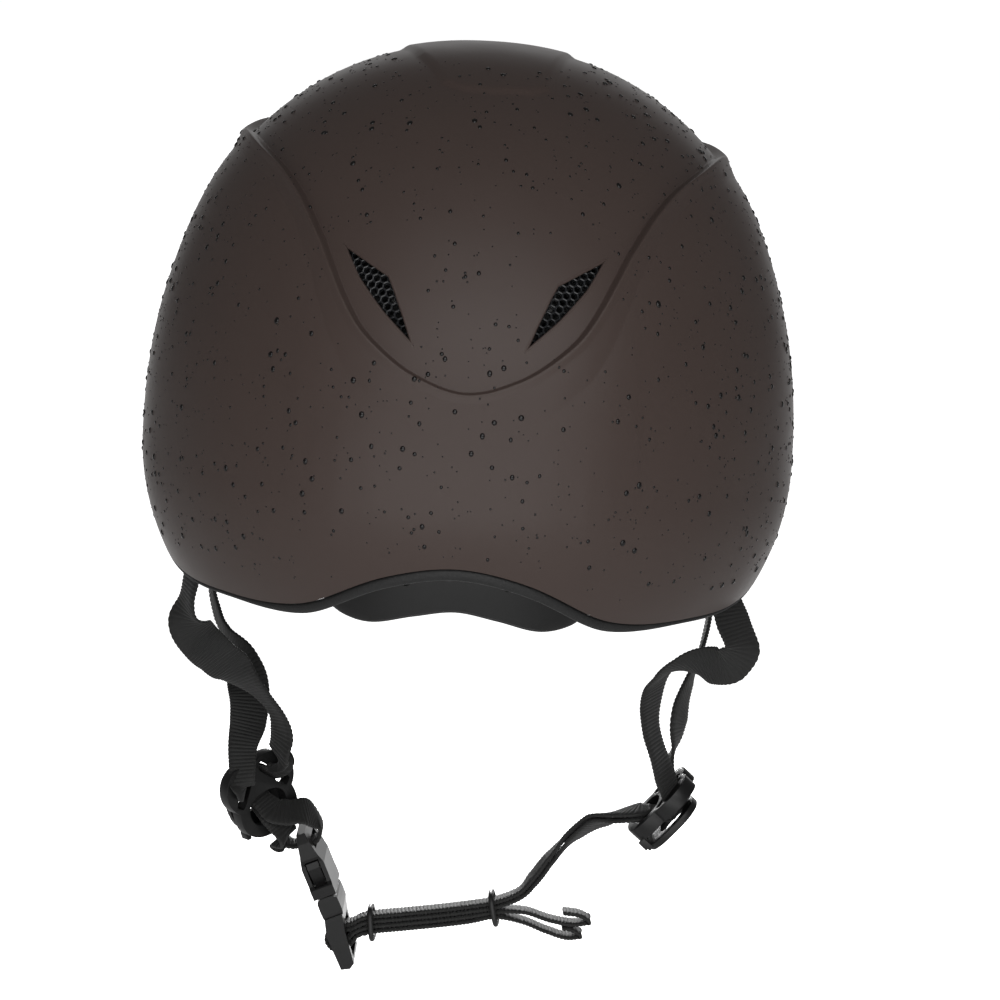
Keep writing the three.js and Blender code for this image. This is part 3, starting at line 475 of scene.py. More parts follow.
def build_vent(name, front, side):
    """A rounded lip round the opening and a honeycomb grille behind it."""
    outline = subdivide_outline(vent_outline(VENT_OPENING, front, side), 10)
    path = [skin(SHELL, a, t, relief(np.array(a), np.array(t)) - 0.5) for a, t in outline]
    lip = tube(f"vent_lip_{name}", path, 0.6, BROWN, True, 10)
    hand_over(lip, "helmet", "brown_paint")
    grown = vent_outline(1.34, front, side)
    centre_a, centre_t = np.mean([p[0] for p in grown]), np.mean([p[1] for p in grown])
    per_a = np.linalg.norm(dome(SHELL, centre_a + 0.5, centre_t) - dome(SHELL, centre_a - 0.5, centre_t))
    down = dome(SHELL, centre_a, centre_t + 0.005) - dome(SHELL, centre_a, centre_t - 0.005)
    per_t = np.linalg.norm(down) / 0.01
    flat = [((a - centre_a) * per_a, (t - centre_t) * per_t) for a, t in grown]
    cell, wall = 1.55, 0.34
    verts, faces = [], []
    for row in range(-16, 17):
        for column in range(-16, 17):
            x = (column + 0.5 * (row % 2)) * cell * math.sqrt(3)
            y = row * cell * 1.5
            if edge_distance(np.array([x, y]), flat) > 0.3:
                continue
            start = len(verts)
            for radius, lift in ((cell, -2.4), (cell, -4.4), (cell - wall, -4.4), (cell - wall, -2.6)):
                for k in range(6):
                    q = math.radians(60 * k + 30)
                    a = centre_a + (x + radius * math.cos(q)) / per_a
                    t = centre_t + (y + radius * math.sin(q)) / per_t
                    verts.append(skin(SHELL, a, t, lift))
            for ring in range(4):
                for k in range(6):
                    n = (k + 1) % 6
                    low, high = start + ring * 6, start + ((ring + 1) % 4) * 6
                    faces.append((low + k, low + n, high + n, high + k))
    grille = mesh_object(f"vent_grille_{name}", verts, faces, GRILLE, False)
    tidy_normals(grille)
    hand_over(grille, "helmet", "vent_gloss", f"vent_mesh_{name}")


def build_liner():
    columns, rows = 180, 60
    azimuth = np.arange(columns) * 360 / columns
    share = np.linspace(0, 1, rows)[:, None]
    outer_tilt = np.maximum(share * tilt_at(SHELL, rim_height(azimuth) + 0.4), 0.012)
    inner_tilt = np.maximum(share * tilt_at(CAVITY, rim_height(azimuth) + 0.4), 0.012)
    around = np.broadcast_to(azimuth, outer_tilt.shape)
    outer = skin(SHELL, around, outer_tilt, np.full(around.shape, -WALL - 0.4))
    inner = skin(CAVITY, around, inner_tilt, np.zeros(around.shape))
    liner = bowl("foam_liner", outer, inner, columns, FOAM)
    cutters = [vent_prism(1.5, front, side, 4, -7) for front, side in VENT_SIDES.values()]
    cutters += [vent_prism(0.7, front, side, 2, -50) for front, side in VENT_SIDES.values()]
    cutters += [box_object((-18, 70, -70), (18, 108, 2)), box_object((-54, 70.5, -70), (54, 100, 0))]
    cutters += [box_object((-10, -4.5, -70), (10, 4.5, top + 0.5), turn, (x, y, 0))
                for x, y, turn, top in ANCHORS]
    carve(liner, cutters)
    smooth_by_angle(liner, 40)
    hand_over(liner, "helmet", "foam", "eps_liner")


def build_trim():
    section = [(-0.9, -0.2), (-0.7, -0.8), (-0.6, -1.4), (-0.8, -2.1), (-1.4, -2.7), (-2.4, -3.0),
               (-3.4, -3.0), (-4.6, -2.6), (-5.6, -1.8), (-6.0, -0.4), (-4.0, -0.2)]
    sections = []
    for azimuth in np.arange(0, 360, 1.0):
        edge = skin(SHELL, azimuth, tilt_at(SHELL, rim_height(azimuth)), 0.0)
        outward = np.array([edge[0], edge[1], 0]) / math.hypot(edge[0], edge[1])
        deep = 0.65 + 0.75 * (1 - float(step(fold(azimuth), 18, 42)))
        sections.append([edge + outward * out + np.array([0, 0, up * deep]) for out, up in section])
    trim = loft("rim_trim", sections, TRIM, ring=True)
    hand_over(trim, "helmet", "edge_rubber", "edge_trim")


def peak_root(angle):
    return 9 - 7 * (angle / PEAK_HALF_ANGLE) ** 2


def build_peak():
    sections = []
    for angle in np.linspace(-PEAK_HALF_ANGLE, PEAK_HALF_ANGLE, 90):
        def at(height, lift):
            return skin(SHELL, 180 - angle, tilt_at(SHELL, peak_root(angle) + height), lift)
        reach = 4 + PEAK_REACH * math.cos(math.radians(angle * 90 / PEAK_HALF_ANGLE)) ** 0.8
        root = at(0, 0.5)
        clear = at(14.4, float(relief(180.0 - angle, tilt_at(SHELL, peak_root(angle) + 14.4))) + 0.3)

        def edge(t, up=0.0, out=0.0):
            return root + np.array([0, -reach * t - out, -reach * PEAK_DROP * (0.7 * t + 0.3 * t * t) + up])
        under = [edge(0.5), edge(0.97), edge(1, 0.1, 0.25), edge(1, 1.0, 0.5), edge(1, 1.9, 0.25)]
        over = [edge(0.97, 2.2), edge(0.75, 2.4), edge(0.5, 2.5), edge(0.25, 2.9)]
        seat = [at(3.4, 4.6), at(5.2, 3.9), at(8, 3.9), at(12.6, 3.7), at(14.2, 2.9)]
        sections.append([root] + under + over + seat + [clear])
    peak = loft("peak_visor", sections, BROWN)
    smooth_by_angle(peak, 60)
    hand_over(peak, "helmet", "brown_paint", "peak")


def cradle_face(x):
    return 90 - x * x / 150


def build_cradle():
    low = ([0, 14, 28, 38, 50], [-42, -44.5, -48, -46.5, -40])
    top = ([0, 16, 30, 40, 50], [-2, -2, -10, -20, -32])
    sections = []
    for x in np.linspace(-50, 50, 81):
        face = cradle_face(x)
        bottom, crest = smooth_curve(abs(x), low), smooth_curve(abs(x), top)
        front = [(x, face - 1.3 * math.sin(math.pi * t) - 3 * t ** 3, crest + (bottom - crest) * t)
                 for t in np.linspace(0, 1, 14)]
        back = [(x, face + 2.2 - 1.2 * t - 1.8 * t ** 3, crest + (bottom + 0.3 - crest) * t)
                for t in np.linspace(1, 0, 14)]
        sections.append(front + [(x, face - 2.2, bottom - 0.7)] + back)
    cradle = loft("nape_cradle_shell", sections, PLASTIC)
    cutters = []
    for x, z in CRADLE_DIMPLES:
        bpy.ops.mesh.primitive_cylinder_add(
            vertices=24, radius=1.5 * MM, depth=6 * MM, rotation=(math.pi / 2, 0, 0),
            location=(x * MM, (cradle_face(x) + 2.4) * MM, z * MM))
        cutters.append(bpy.context.object)
    carve(cradle, cutters)
    smooth_by_angle(cradle, 45)
    hand_over(cradle, "helmet", "grey_plastic", "nape_cradle")


# ---- webbing ----
LEFT_REAR = [
    (91.5, 33, -31, -0.4, 0.92, 0), (92, 33, -45, -0.42, 0.9, 0.05), (93.5, 33, -56, -0.36, 0.92, 0.14),
    (93, 30, -65, -0.4, 0.45, 0.8), (89, 26, -72, -0.21, 0.1, 0.97), (83, 20, -79, -0.14, 0.45, 0.88),
    (77, 14, -85, -0.07, 0.57, 0.82), (68, 11, -93.5, -0.2, 0.85, 0.45), (61.8, 10, -101, -0.42, 0.88, 0.15),
    (59.8, 10, -108, -0.55, 0.82, 0.05), (60.6, 9.5, -115, -0.4, 0.85, 0.3),
]
LEFT_FRONT = [
    (90.5, -26, -26, 0.1, 1, 0), (90.5, -25.5, -44, 0, 1, 0), (90, -24, -62, -0.2, 0.97, -0.1),
    (87, -20, -72, -0.3, 0.95, 0), (83, -16, -79, -0.4, 0.9, -0.05), (76.5, -9, -87, -0.75, 0.66, 0),
    (73, -3, -97, -0.97, -0.15, -0.1), (72.5, 3, -106, -0.85, -0.4, 0.15, 0, 0.9),
    (73.5, 10, -114, -0.65, -0.3, 0.5, 0, 0.7),
]
LOOP_OUT = [
    (-0.8, 3.9, -6.6, (1, 0, 0)), (-4, 6.4, -8.5, (0.95, 0.25, -0.15)),
    (-9, 8.2, -10.5, (0.8, 0.55, -0.2)),
]
LOOP_BACK = [(-1.5, 4.7, -16.9, (0.8, 0.55, 0)), (-1.2, 4.2, -11.6, (1, 0, 0)), (-0.4, 1.9, -8.2, (1, 0, 0))]
LOOP_BAR = [
    (46.8, -0.6, -140.6, -0.1, -0.98, 0), (44.8, -2, -145, 0, -1, 0), (45.8, -2, -148.5, 0, -1, 0),
    (49.3, -2, -149.9, 0, -1, 0), (54.5, -2, -151.3, 0, -1, 0), (58.8, -1, -149.2, -0.2, -0.97, 0.1),
]
RIGHT_REAR = [
    (-91.5, 33, -31, -0.4, -0.92, 0), (-92, 35, -42, -0.62, -0.78, 0), (-95, 38.5, -51, -0.8, -0.6, 0),
    (-98.5, 41, -60, -0.7, -0.4, -0.5), (-95, 40, -65.5, -0.1, -0.4, -0.9), (-88, 35, -68, 0.15, -0.5, -0.85),
    (-81, 29, -70.5, 0.1, -0.87, -0.5), (-74.5, 22, -74, -0.2, -0.97, -0.1), (-71, 16, -80, -0.47, -0.88, 0),
    (-69.8, 14, -88, -0.48, -0.88, -0.1), (-70.5, 14, -97, -0.36, -0.93, 0.1),
    (-74, 15, -107, -0.3, -0.9, 0.2),
]
RIGHT_FRONT = [
    (-90.5, -26, -26, 0.1, -1, 0), (-90.5, -25.5, -44, 0, -1, 0), (-90.5, -24, -62, 0, -1, 0),
    (-88, -20, -76, -0.06, -1, 0), (-85, -14, -84, -0.24, -0.97, 0), (-82.5, -9, -91, -0.34, -0.94, 0),
    (-81, -5, -98, -0.4, -0.91, 0), (-80.5, -3.8, -106, -0.2, -0.95, -0.1),
]
RIGHT_RUN = [
    (-60.5, 3, -132.4, 0.15, -0.9, -0.25, 1.1), (-53, 0, -136, 0.3, -0.72, -0.55, 1.1),
    (-45.5, -2, -142.6, 0.4, -0.62, -0.66, 1.1), (-38.5, -4, -151.4, 0.3, -0.75, -0.5, 1.0),
    (-32.4, -6, -160.5, 0.1, -0.96, -0.2, 0.95), (-28.5, -6, -165.6, 0, -1, -0.15, 0.9),
]
CHIN_LINE = [
    (31.2, -2, -181.7), (27.6, -2.4, -179.9), (24.7, -3, -179.2), (13, -4, -177.6),
    (0.3, -5, -175.8), (-10, -5.5, -174), (-20, -6, -171.8),
]
TAILS = [
    [(-30, -6, -172.2), (-40, -6, -174.8), (-49, -6, -175.6),
     (-53.4, -6, -174.2), (-50.4, -6, -172.3), (-44, -6, -171.6)],
    [(-30, -6, -176), (-38, -6, -178.8), (-46.4, -6, -180.8),
     (-50.6, -6, -179.6), (-47.6, -6, -177.8), (-44, -6, -177.4)],
]


def axes_of(divider):
    x = Vector(divider["x"]).normalized()
    z = Vector(divider["z"])
    z = (z - x * z.dot(x)).normalized()
    return np.array(x), np.array(z.cross(x)), np.array(z)


def row_on_divider(divider, across, out, up, width, gather=1.0):
    """A row of a route given on a divider; gather is the share of its width that the band keeps there."""
    x, y, z = axes_of(divider)
    point = np.array(divider["at"]) + x * across + y * out + z * up
    direction = (x * width[0] + y * width[1] + z * width[2]) * divider["turn"]
    return (*point, *direction, 0, gather)


def through_divider(divider, side, layer):
    slant, halfway, flat = (0.6, 0, -0.8 * side), (0.75, 0, -0.65 * side), (1, 0, 0)
    places = [
        (side * 8.6, 3.8, 7.4, slant), (side * 6.4, 0.5, 5.6, slant),
        (side * 5.5, -4.3 - 1.2 * layer, 4.6, slant), (side * 4.0, -4.6 - 1.8 * layer, 3.0, halfway),
        (side * 1.4, -4.4 - 1.8 * layer, 0.2 - 1.5 * layer, flat),
        (0, 0.2 - 1.9 * layer, -3.9 - 1.8 * layer, flat),
    ]
    return [row_on_divider(divider, *place, SLOT_GATHER) for place in places]


def lifted(rows):
    """The rows as points and widths, each point moved by its layer's height along the band's own normal."""
    points = np.array([row[:3] for row in rows], float)
    widths = np.array([row[3:6] for row in rows], float)
    out = []
    for k, row in enumerate(rows):
        along = points[min(k + 1, len(rows) - 1)] - points[max(k - 1, 0)]
        normal = np.cross(along / np.linalg.norm(along), widths[k])
        out.append(points[k] + normal / np.linalg.norm(normal) * (row[6] if len(row) > 6 else 0))
    gather = np.array([row[7] if len(row) > 7 else 1.0 for row in rows])
    return np.array(out), widths / np.linalg.norm(widths, axis=1, keepdims=True), gather


def spline(points, t, centripetal=True):
    """Catmull-Rom curve through the points, t from 0 to 1."""
    last = len(points) - 1
    i = min(int(t * last), last - 1)
    w = t * last - i
    p1, p2 = points[i], points[i + 1]
    p0 = points[i - 1] if i > 0 else 2 * p1 - p2
    p3 = points[i + 2] if i + 2 <= last else 2 * p2 - p1
    if centripetal:
        d0, d1, d2 = [max(np.linalg.norm(b - a), 1e-6) ** 0.5 for a, b in ((p0, p1), (p1, p2), (p2, p3))]
        m1 = ((p1 - p0) / d0 - (p2 - p0) / (d0 + d1) + (p2 - p1) / d1) * d1
        m2 = ((p2 - p1) / d1 - (p3 - p1) / (d1 + d2) + (p3 - p2) / d2) * d1
    else:
        m1, m2 = (p2 - p0) / 2, (p3 - p1) / 2
    return ((2 * w**3 - 3 * w**2 + 1) * p1 + (w**3 - 2 * w**2 + w) * m1
            + (3 * w**2 - 2 * w**3) * p2 + (w**3 - w**2) * m2)


def stations(points, widths, pitch):
    """Evenly spaced points along the route, with the directions along and across the band."""
    coarse = np.linspace(0, 1, 60 * len(points))
    route = np.array([spline(points, t) for t in coarse])
    walked = np.concatenate([[0], np.cumsum(np.linalg.norm(np.diff(route, axis=0), axis=1))])
    count = max(int(walked[-1] / pitch), 4)
    for s in np.linspace(0, walked[-1], count + 1):
        t = float(np.interp(s, walked, coarse))
        middle = spline(points, t)
        along = spline(points, min(t + 1e-4, 1)) - spline(points, max(t - 1e-4, 0))
        along /= np.linalg.norm(along)
        side = spline(widths, t, False)
        side -= along * side.dot(along)
        side /= np.linalg.norm(side)
        yield s, t, middle, np.cross(along, side), side


def ribbed_band(name, rows, width=15.0, thick=1.5):
    """Woven webbing: ribs across the band, scalloped at the selvedges."""
    points, widths, gather = lifted(rows)
    pitch = RIB_PITCH / 7
    profile = [(-1, 0.25), (-0.985, 0.7), (-0.94, 0.95), (-0.5, 1), (0, 1),
               (0.5, 1), (0.94, 0.95), (0.985, 0.7), (1, 0.25)]
    sections = []
    for s, t, middle, normal, side in stations(points, widths, pitch):
        kept = np.interp(t * (len(rows) - 1), np.arange(len(rows)), gather)
        rib = abs(math.sin(math.pi * s / RIB_PITCH)) ** 0.8
        half = thick / 2 * (0.66 + 0.34 * rib)
        reach = width / 2 * (0.975 + 0.025 * rib) * kept
        top = [middle + side * u * reach + normal * half * h for u, h in profile]
        bottom = [middle + side * u * reach - normal * half * h for u, h in reversed(profile)]
        sections.append(top + bottom)
    return loft(name, sections, WEB)


def gathered(rows, share):
    return [(*row[:6], 0, share) for row in rows]


def chin_rows(depth):
    lift = (0.5 + depth) * LAYER
    radius = LADDER_BAR["radius"] + 1.15 + depth * LAYER
    c, s = math.cos(BUCKLE_TILT), math.sin(BUCKLE_TILT)
    x, z = LADDER_BAR["x"], LADDER_BAR["z"]
    bar = BUCKLE_MOUTH + np.array([x * c + z * s, 0, z * c - x * s])
    turn = []
    for angle in (-98, -60, -20, 20, 52, 84):
        a = math.radians(angle + 37)
        turn.append((bar[0] + radius * math.cos(a), bar[1], bar[2] - radius * math.sin(a), *CHIN_WIDTH, 0))
    there = [(*p, *CHIN_WIDTH, -lift) for p in reversed(CHIN_LINE)]
    back = [(*p, *CHIN_WIDTH, -lift) for p in CHIN_LINE]
    return there + turn + back + [(*p, *CHIN_WIDTH, 0) for p in TAILS[depth]]


def build_webbing():
    def on_left(rows):
        return [row_on_divider(DIVIDER_LEFT, *row) for row in rows]
    loop = gathered(on_left(LOOP_OUT) + LOOP_BAR + on_left(LOOP_BACK), LOOP_GATHER)
    up = [(x, y, z, -a, -b, -c) for x, y, z, a, b, c in reversed(LEFT_REAR)]
    rows = (LEFT_FRONT + through_divider(DIVIDER_LEFT, 1, 0) + loop
            + through_divider(DIVIDER_LEFT, -1, 1)[::-1] + up)
    hand_over(ribbed_band("side_webbing_left", rows), "helmet", "webbing", "webbing_left")
    for name, start, side, layer, depth in (("rear", RIGHT_REAR, -1, 0, 1), ("front", RIGHT_FRONT, 1, 1, 0)):
        leaving = row_on_divider(DIVIDER_RIGHT, 0, 3.9 - 1.5 * layer, -7.6 - 1.5 * layer, (1, 0, 0))
        run = [(*row[:6], (2 * layer - 1) * row[6]) for row in RIGHT_RUN]
        rows = start + through_divider(DIVIDER_RIGHT, side, layer) + [leaving] + run + chin_rows(depth)
        band = ribbed_band(f"chin_webbing_{name}", rows)
        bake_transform(band)
        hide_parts(f"webbing_right_{name}", "chin_strap_outer" if depth else "chin_strap_inner")


def build_keeper(side, x, y, z, slope):
    """A round rubber cord bent round the chin stack."""
    def around(q):
        wide = math.copysign(abs(math.cos(q)) ** 0.5, math.cos(q))
        tall = math.copysign(abs(math.sin(q)) ** 0.5, math.sin(q))
        return np.array([0, 9.1 * wide, 5.5 * tall])
    lean = np.array(Matrix.Rotation(-math.atan(slope), 3, "Y") @ Matrix.Rotation(CHIN_LEAN, 3, "X"))
    sections = []
    for q in np.linspace(0, 2 * math.pi, 56, endpoint=False):
        along = around(q + 0.02) - around(q - 0.02)
        along /= np.linalg.norm(along)
        out = np.cross(along, (1, 0, 0))
        ring = [around(q) + 0.95 * (math.cos(p) * np.array((1.0, 0, 0)) + math.sin(p) * out)
                for p in np.linspace(0, 2 * math.pi, 12, endpoint=False)]
        sections.append([lean @ r + np.array([x, y, z]) for r in ring])
    keeper = loft(f"keeper_ring_{side}", sections, RUBBER, ring=True)
    hand_over(keeper, f"keeper_{side}", "edge_rubber", f"keeper_{side}")


def build_head_bands():
    outline = [(-1, 0), (-0.9, 0.8), (-0.6, 1), (0.6, 1), (0.9, 0.8),
               (1, 0), (0.9, -0.8), (0.6, -1), (-0.6, -1), (-0.9, -0.8)]
    for side, hand in ((1, "left"), (-1, "right")):
        drop = 0 if side > 0 else -16.4
        route = [(side * 33, 95.4, -6.8 + drop), (side * 44, 91, -7 + drop)]
        for k, azimuth in enumerate((38, 52, 66, 80, 94, 108, 122, 132)):
            x, y, _ = dome(CAVITY, side * azimuth, math.pi / 2) * 0.955
            route.append((x, y, -8 + 0.5 * k + drop * max(0, 1 - (k + 1) / 5)))
        points = np.array(route)
        widths = np.tile((0.0, 0.0, 1.0), (len(route), 1))
        sections = []
        for _, _, middle, normal, up in stations(points, widths, 1.5):
            sections.append([middle + up * 3.5 * u + normal * 0.6 * h for u, h in outline])
        band = loft(f"fit_band_{hand}", sections, PLASTIC)
        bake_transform(band)
        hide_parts(f"head_band_{hand}")


# ---- dividers ----
def oval(x, z, half_x, half_z, power=2.0, count=48):
    points = []
    for q in np.linspace(0, 2 * math.pi, count, endpoint=False):
        wide = math.copysign(abs(math.cos(q)) ** (2 / power), math.cos(q))
        tall = math.copysign(abs(math.sin(q)) ** (2 / power), math.sin(q))
        points.append((x + half_x * wide, z + half_z * tall))
    return points


def plate(name, outline, low, high, turn=0.0, at=(0, 0)):
    """A plate standing in X and Z; turned about Y and moved when asked."""
    spin = np.array(Matrix.Rotation(turn, 3, "Y"))
    place = np.array((at[0], 0, at[1]))
    rows = [[spin @ np.array((x, y, z)) + place for x, z in outline] for y in (low, high)]
    return loft(name, rows, PLASTIC, smooth=False)


def merge(thing, others):
    for other in others:
        modifier = thing.modifiers.new("merge", "BOOLEAN")
        modifier.operation = "UNION"
        modifier.solver = "MANIFOLD"
        modifier.object = other
    bake(thing)
    for other in others:
        bpy.data.objects.remove(other)


def soften(thing, width):
    round_edges(thing, width, 3, 40)
    bake(thing)
    smooth_by_angle(thing, 50)


def stand_on(thing, divider):
    x, y, z = axes_of(divider)
    frame_matrix = Matrix([[x[i], y[i], z[i], divider["at"][i] * MM] for i in range(3)] + [[0, 0, 0, 1]])
    thing.data.transform(frame_matrix)


def build_divider(hand, divider):
    """A thick moulded body with two slanting slots and a hole, and the hinged lock behind it."""
    front, back = 1.7, -3.4
    pin_out, pin_up = -5.2, -13.2
    body = plate(f"divider_body_{hand}", oval(-5.2, 4.6, 9.4, 9.4), back, front)
    parts = [plate("lobe", oval(5.2, 4.6, 9.4, 9.4), back, front),
             plate("foot", oval(0, -5.6, 12.2, 9.4, 2.4), back, front)]
    parts += [plate("lug", oval(side * 9, pin_up, 0.9, 1.5, 6, 16), pin_out - 1.5, back + 0.5)
              for side in (1, -1)]
    merge(body, parts)
    cutters = [plate("cutter", oval(0, -5.0, 8.0, 6.0, 2.4), -9, 9)]
    cutters += [plate("cutter", oval(0, 0, 7.4, 1.9, 5), -9, 9, side * math.radians(52), (side * 6.3, 5.5))
                for side in (1, -1)]
    carve(body, cutters)
    soften(body, 0.7)
    stand_on(body, divider)
    hand_over(body, "helmet", "grey_plastic", f"divider_{hand}")
    lock = plate(f"divider_flap_{hand}", oval(0, -2.6, 10.8, 11.6, 2.6), -9.3, -7.0)
    merge(lock, [plate("foot", oval(0, pin_up, 7.6, 1.4, 5), -8.2, pin_out - 0.1)])
    carve(lock, [plate("cutter", oval(0, -1.8, 6.4, 5.6, 2.6), -12, 0)])
    soften(lock, 0.5)
    stand_on(lock, divider)
    hand_over(lock, f"lock_{hand}", "grey_plastic", f"divider_lock_{hand}")


# ---- padding ----
def build_pad(node):
    """The CAD cushion puffed up by a short cloth simulation, its back held to the liner."""
    source = frame["nodes"][node]
    mesh = source.data.copy()
    mesh.transform(source.matrix_world)
    mesh.materials.clear()
    mesh.materials.append(FABRIC)
    cushion = bpy.data.objects.new(f"{node}_cushion", mesh)
    bpy.context.scene.collection.objects.link(cushion)
    remesh = cushion.modifiers.new("remesh", "REMESH")
    remesh.mode = "VOXEL"
    remesh.voxel_size = 4.5 * MM if node != "crown_pad" else 4 * MM
    bake(cushion)
    rest = np.array([v.co[:] for v in cushion.data.vertices])
    high = np.abs(rest[:, 2] / MM)
    reach = ((np.abs(rest[:, 0]) / 0.084) ** POWER + (np.abs(rest[:, 1]) / 0.103) ** POWER
             + (high * MM / 0.112) ** POWER) ** (1 / POWER)
    pinned = cushion.vertex_groups.new(name="held")
    held = [int(i) for i in np.nonzero(reach > np.quantile(reach, 0.55))[0]]
    pinned.add(held, 1.0, "REPLACE")
    cloth = cushion.modifiers.new("cloth", "CLOTH")
    cloth.settings.vertex_group_mass = "held"
    cloth.settings.use_pressure = True
    cloth.settings.uniform_pressure_force = 4
    cloth.settings.effector_weights.gravity = 0
    cloth.point_cache.frame_end = 20
    for number in range(1, 21):
        bpy.context.scene.frame_set(number)
    bake(cushion)
    puffed = np.array([v.co[:] for v in cushion.data.vertices])
    move = puffed - rest
    length = np.linalg.norm(move, axis=1, keepdims=True)
    puffed = rest + move * np.minimum(1, 2.2 * MM / np.maximum(length, 1e-9))
    cushion.data.vertices.foreach_set("co", puffed.ravel())
    bpy.context.scene.frame_set(1)
    finer = cushion.modifiers.new("finer", "SUBSURF")
    finer.levels = finer.render_levels = 2
    bake(cushion)
    cushion.data.polygons.foreach_set("use_smooth", [True] * len(cushion.data.polygons))
    hand_over(cushion, "helmet", "pad_fabric", node)


# ---- water on the shell ----
DROPS = 4300
DROP_SIDES = 10
DROP_RINGS = ((1.0, -0.15), (0.95, 0.15), (0.72, 0.36), (0.38, 0.5))    # share of the radius, height


def build_droplets():
    """Small drops all over the shell, with none on the vents."""
    verts, faces = [], []
    for _ in range(DROPS):
        azimuth = random.uniform(-180, 180)
        height = random.uniform(-30, 134)
        if height < float(rim_height(azimuth)) + 4:
            continue
        tilt = float(tilt_at(SHELL, height))
        if 7 < fold(azimuth) % 173 < 23 and 54 < math.degrees(tilt) < 71:
            continue
        radius = 0.24 + 0.75 * random.random() ** 4.5
        centre = skin(SHELL, azimuth, tilt, float(relief(np.array(azimuth), np.array(tilt))))
        out = skin(SHELL, azimuth, tilt, 5.0) - skin(SHELL, azimuth, tilt, 0.0)
        out /= np.linalg.norm(out)
        side = np.cross(out, (0, 0, 1.0))
        side /= np.linalg.norm(side)
        up = np.cross(side, out)
        tall = random.uniform(1.0, 1.35)
        start = len(verts)
        for spread, lift in DROP_RINGS:
            for k in range(DROP_SIDES):
                q = 2 * math.pi * k / DROP_SIDES
                around = side * math.cos(q) * spread + up * math.sin(q) * spread * tall
                verts.append(centre + radius * (around + out * lift))
        verts.append(centre + out * radius * 0.54)
        for ring in range(len(DROP_RINGS) - 1):
            low = start + ring * DROP_SIDES
            high = low + DROP_SIDES
            for k in range(DROP_SIDES):
                n = (k + 1) % DROP_SIDES
                faces.append((low + k, low + n, high + n, high + k))
        last = start + (len(DROP_RINGS) - 1) * DROP_SIDES
        tip = last + DROP_SIDES
        faces += [(last + k, last + (k + 1) % DROP_SIDES, tip) for k in range(DROP_SIDES)]
    drops = mesh_object("water_droplets", verts, faces, WATER)
    tidy_normals(drops)
    hand_over(drops, "helmet", "vent_gloss")


# ---- CAD pieces that keep their shape ----
def finish_cad():
    looks = {
        "brown_paint": BROWN, "foam": FOAM, "edge_rubber": RUBBER, "grey_plastic": PLASTIC,
        "vent_gloss": GRILLE, "gloss_black": GLOSS, "pad_fabric": FABRIC, "webbing": WEB, "steel": STEEL,
    }
    slots = {part["node"]: part["material_slot"] for part in frame["record"]["subparts"]}
    for name, thing in frame["nodes"].items():
        thing.data.materials.clear()
        thing.data.materials.append(looks[slots[name]])
        if name.startswith(("buckle", "divider", "dial_cover", "dial_knob", "strap_anchor", "peak_screw")):
            round_edges(thing, EDGE_ROUND.get(name.split("_")[0], 0.25))


# ---- camera, light and floor ----
CAMERA_AZIMUTH = math.radians(180.6)
CAMERA_ELEVATION = math.radians(10)
CAMERA_ROLL = math.radians(3.3)
CAMERA_DISTANCE = 1.3
CAMERA_LENS = 132.9
CAMERA_SHIFT = (0.032, -0.060)


def aim_camera():
    camera = bpy.data.objects.new("camera", bpy.data.cameras.new("camera"))
    bpy.context.scene.collection.objects.link(camera)
    across = math.cos(CAMERA_ELEVATION)
    spot = Vector((math.sin(CAMERA_AZIMUTH) * across, -math.cos(CAMERA_AZIMUTH) * across,
                   math.sin(CAMERA_ELEVATION)))
    camera.location = spot * CAMERA_DISTANCE
    facing = (-camera.location).to_track_quat("-Z", "Y").to_matrix()
    camera.rotation_euler = (facing @ Matrix.Rotation(CAMERA_ROLL, 3, "Z")).to_euler()
    camera.data.lens = CAMERA_LENS
    camera.data.sensor_width = 36
    camera.data.shift_x, camera.data.shift_y = CAMERA_SHIFT
    bpy.context.scene.camera = camera


def area_light(name, spot, target, size, power, colour=(1, 1, 1)):
    light = bpy.data.lights.new(name, "AREA")
    light.shape = "RECTANGLE"
    light.size, light.size_y = size
    light.energy = power
    light.color = colour
    thing = bpy.data.objects.new(name, light)
    bpy.context.scene.collection.objects.link(thing)
    thing.location = spot
    thing.rotation_euler = (Vector(target) - Vector(spot)).to_track_quat("-Z", "Y").to_euler()


def position(tree, source):
    """The three components of a texture coordinate."""
    place = tree.nodes.new("ShaderNodeTexCoord")
    split = tree.nodes.new("ShaderNodeSeparateXYZ")
    tree.links.new(place.outputs[source], split.inputs["Vector"])
    return split.outputs


def fade(tree, value, low, high, at_low, at_high):
    """A value that goes smoothly from at_low to at_high as the other goes from low to high."""
    node = tree.nodes.new("ShaderNodeMapRange")
    node.interpolation_type = "SMOOTHSTEP"
    node.inputs["From Min"].default_value = low
    node.inputs["From Max"].default_value = high
    node.inputs["To Min"].default_value = at_low
    node.inputs["To Max"].default_value = at_high
    tree.links.new(value, node.inputs["Value"])
    return node.outputs["Result"]


def combine(tree, operation, *sockets):
    node = tree.nodes.new("ShaderNodeMath")
    node.operation = operation
    for socket, target in zip(sockets, node.inputs):
        tree.links.new(socket, target)
    return node


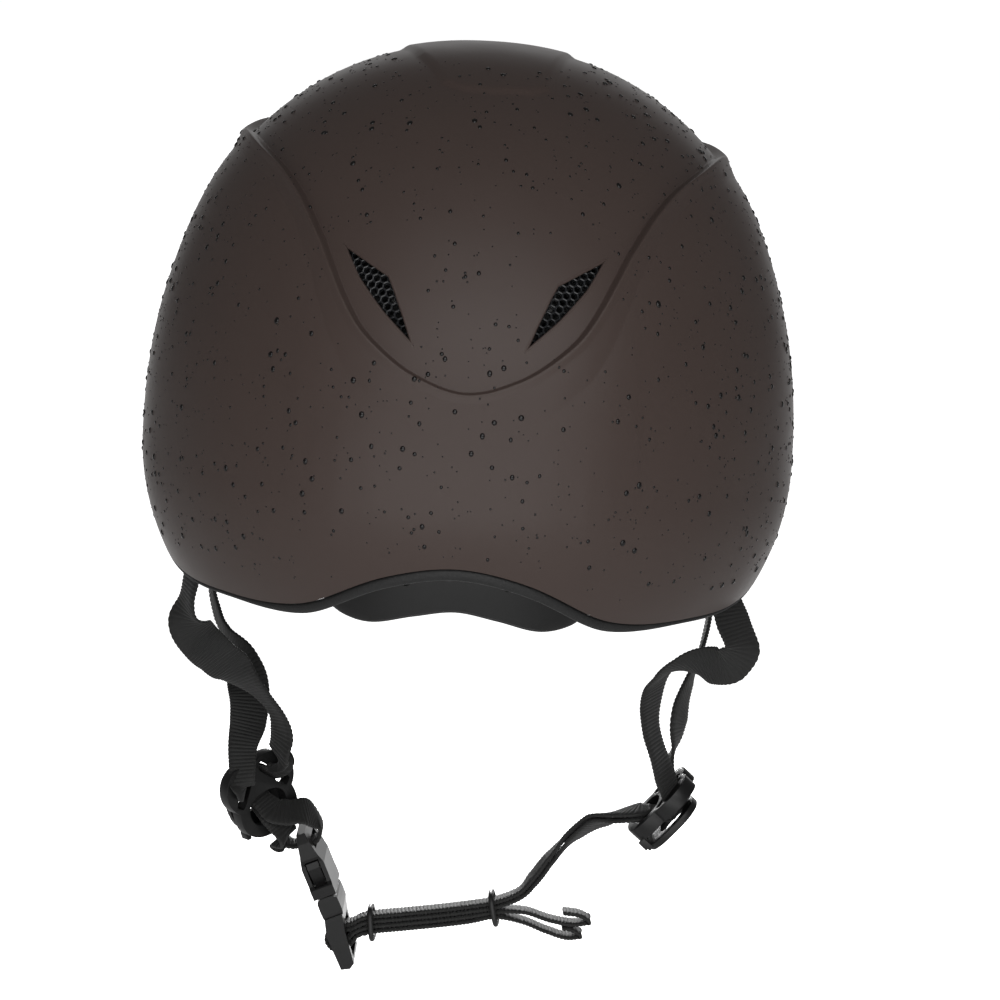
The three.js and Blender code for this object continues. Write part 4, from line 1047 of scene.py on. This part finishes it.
def light_world():
    """Dim all round, but for a white backdrop low behind the helmet as the camera sees it."""
    world = bpy.data.worlds.new("studio")
    bpy.context.scene.world = world
    world.use_nodes = True
    tree = world.node_tree
    tree.nodes["Background"].inputs["Color"].default_value = (1, 1, 1, 1)
    backdrop = fade(tree, position(tree, "Generated")["Y"], -0.90, -0.975, WORLD_DIM, 1.02)
    tree.links.new(backdrop, tree.nodes["Background"].inputs["Strength"])


def build_floor():
    """A pale floor that glows white in a wedge behind the helmet, to join the backdrop."""
    low, wide = FLOOR_LEVEL, FLOOR_HALF
    corners = [(-wide, -wide, low), (wide, -wide, low), (wide, wide, low), (-wide, wide, low)]
    finish = surface("pale_floor", (0.8, 0.8, 0.8), 0.9)
    ground = mesh_object("floor", corners, [(0, 1, 2, 3)], finish, False)
    tree = finish.node_tree
    shader = tree.nodes["Principled BSDF"]
    shader.inputs["Emission Color"].default_value = (1, 1, 1, 1)
    place = position(tree, "Object")
    behind = fade(tree, place["Y"], -0.7, -1.25, 0, 1)
    slant = combine(tree, "DIVIDE", place["X"], place["Y"])
    spread = combine(tree, "ABSOLUTE", slant.outputs[0])
    middle = fade(tree, spread.outputs[0], 0.28, 0.62, 1, 0)
    glow = combine(tree, "MULTIPLY_ADD", behind, middle)
    glow.inputs[2].default_value = FLOOR_DIM
    tree.links.new(glow.outputs[0], shader.inputs["Emission Strength"])


def studio():
    light_world()
    build_floor()
    for light in LIGHTS:
        area_light(*light)
    bpy.context.scene.view_settings.view_transform = "Standard"


finish_cad()
build_shell()
for vent_name, (vent_front, vent_side) in VENT_SIDES.items():
    build_vent(vent_name, vent_front, vent_side)
build_liner()
build_trim()
build_peak()
build_cradle()
build_webbing()
build_divider("left", DIVIDER_LEFT)
build_divider("right", DIVIDER_RIGHT)
build_keeper("left", 24.7, -3, -179.2, -0.13)
build_keeper("right", -19, -6, -172, -0.24)
build_head_bands()
for pad_node, pad_fill in (("crown_pad", 0.6), ("brow_pad", 0.6),
                           ("side_pad_left", 0.5), ("side_pad_right", 0.5), ("nape_pad", 0.5)):
    build_pad(pad_node)
build_droplets()
aim_camera()
studio()
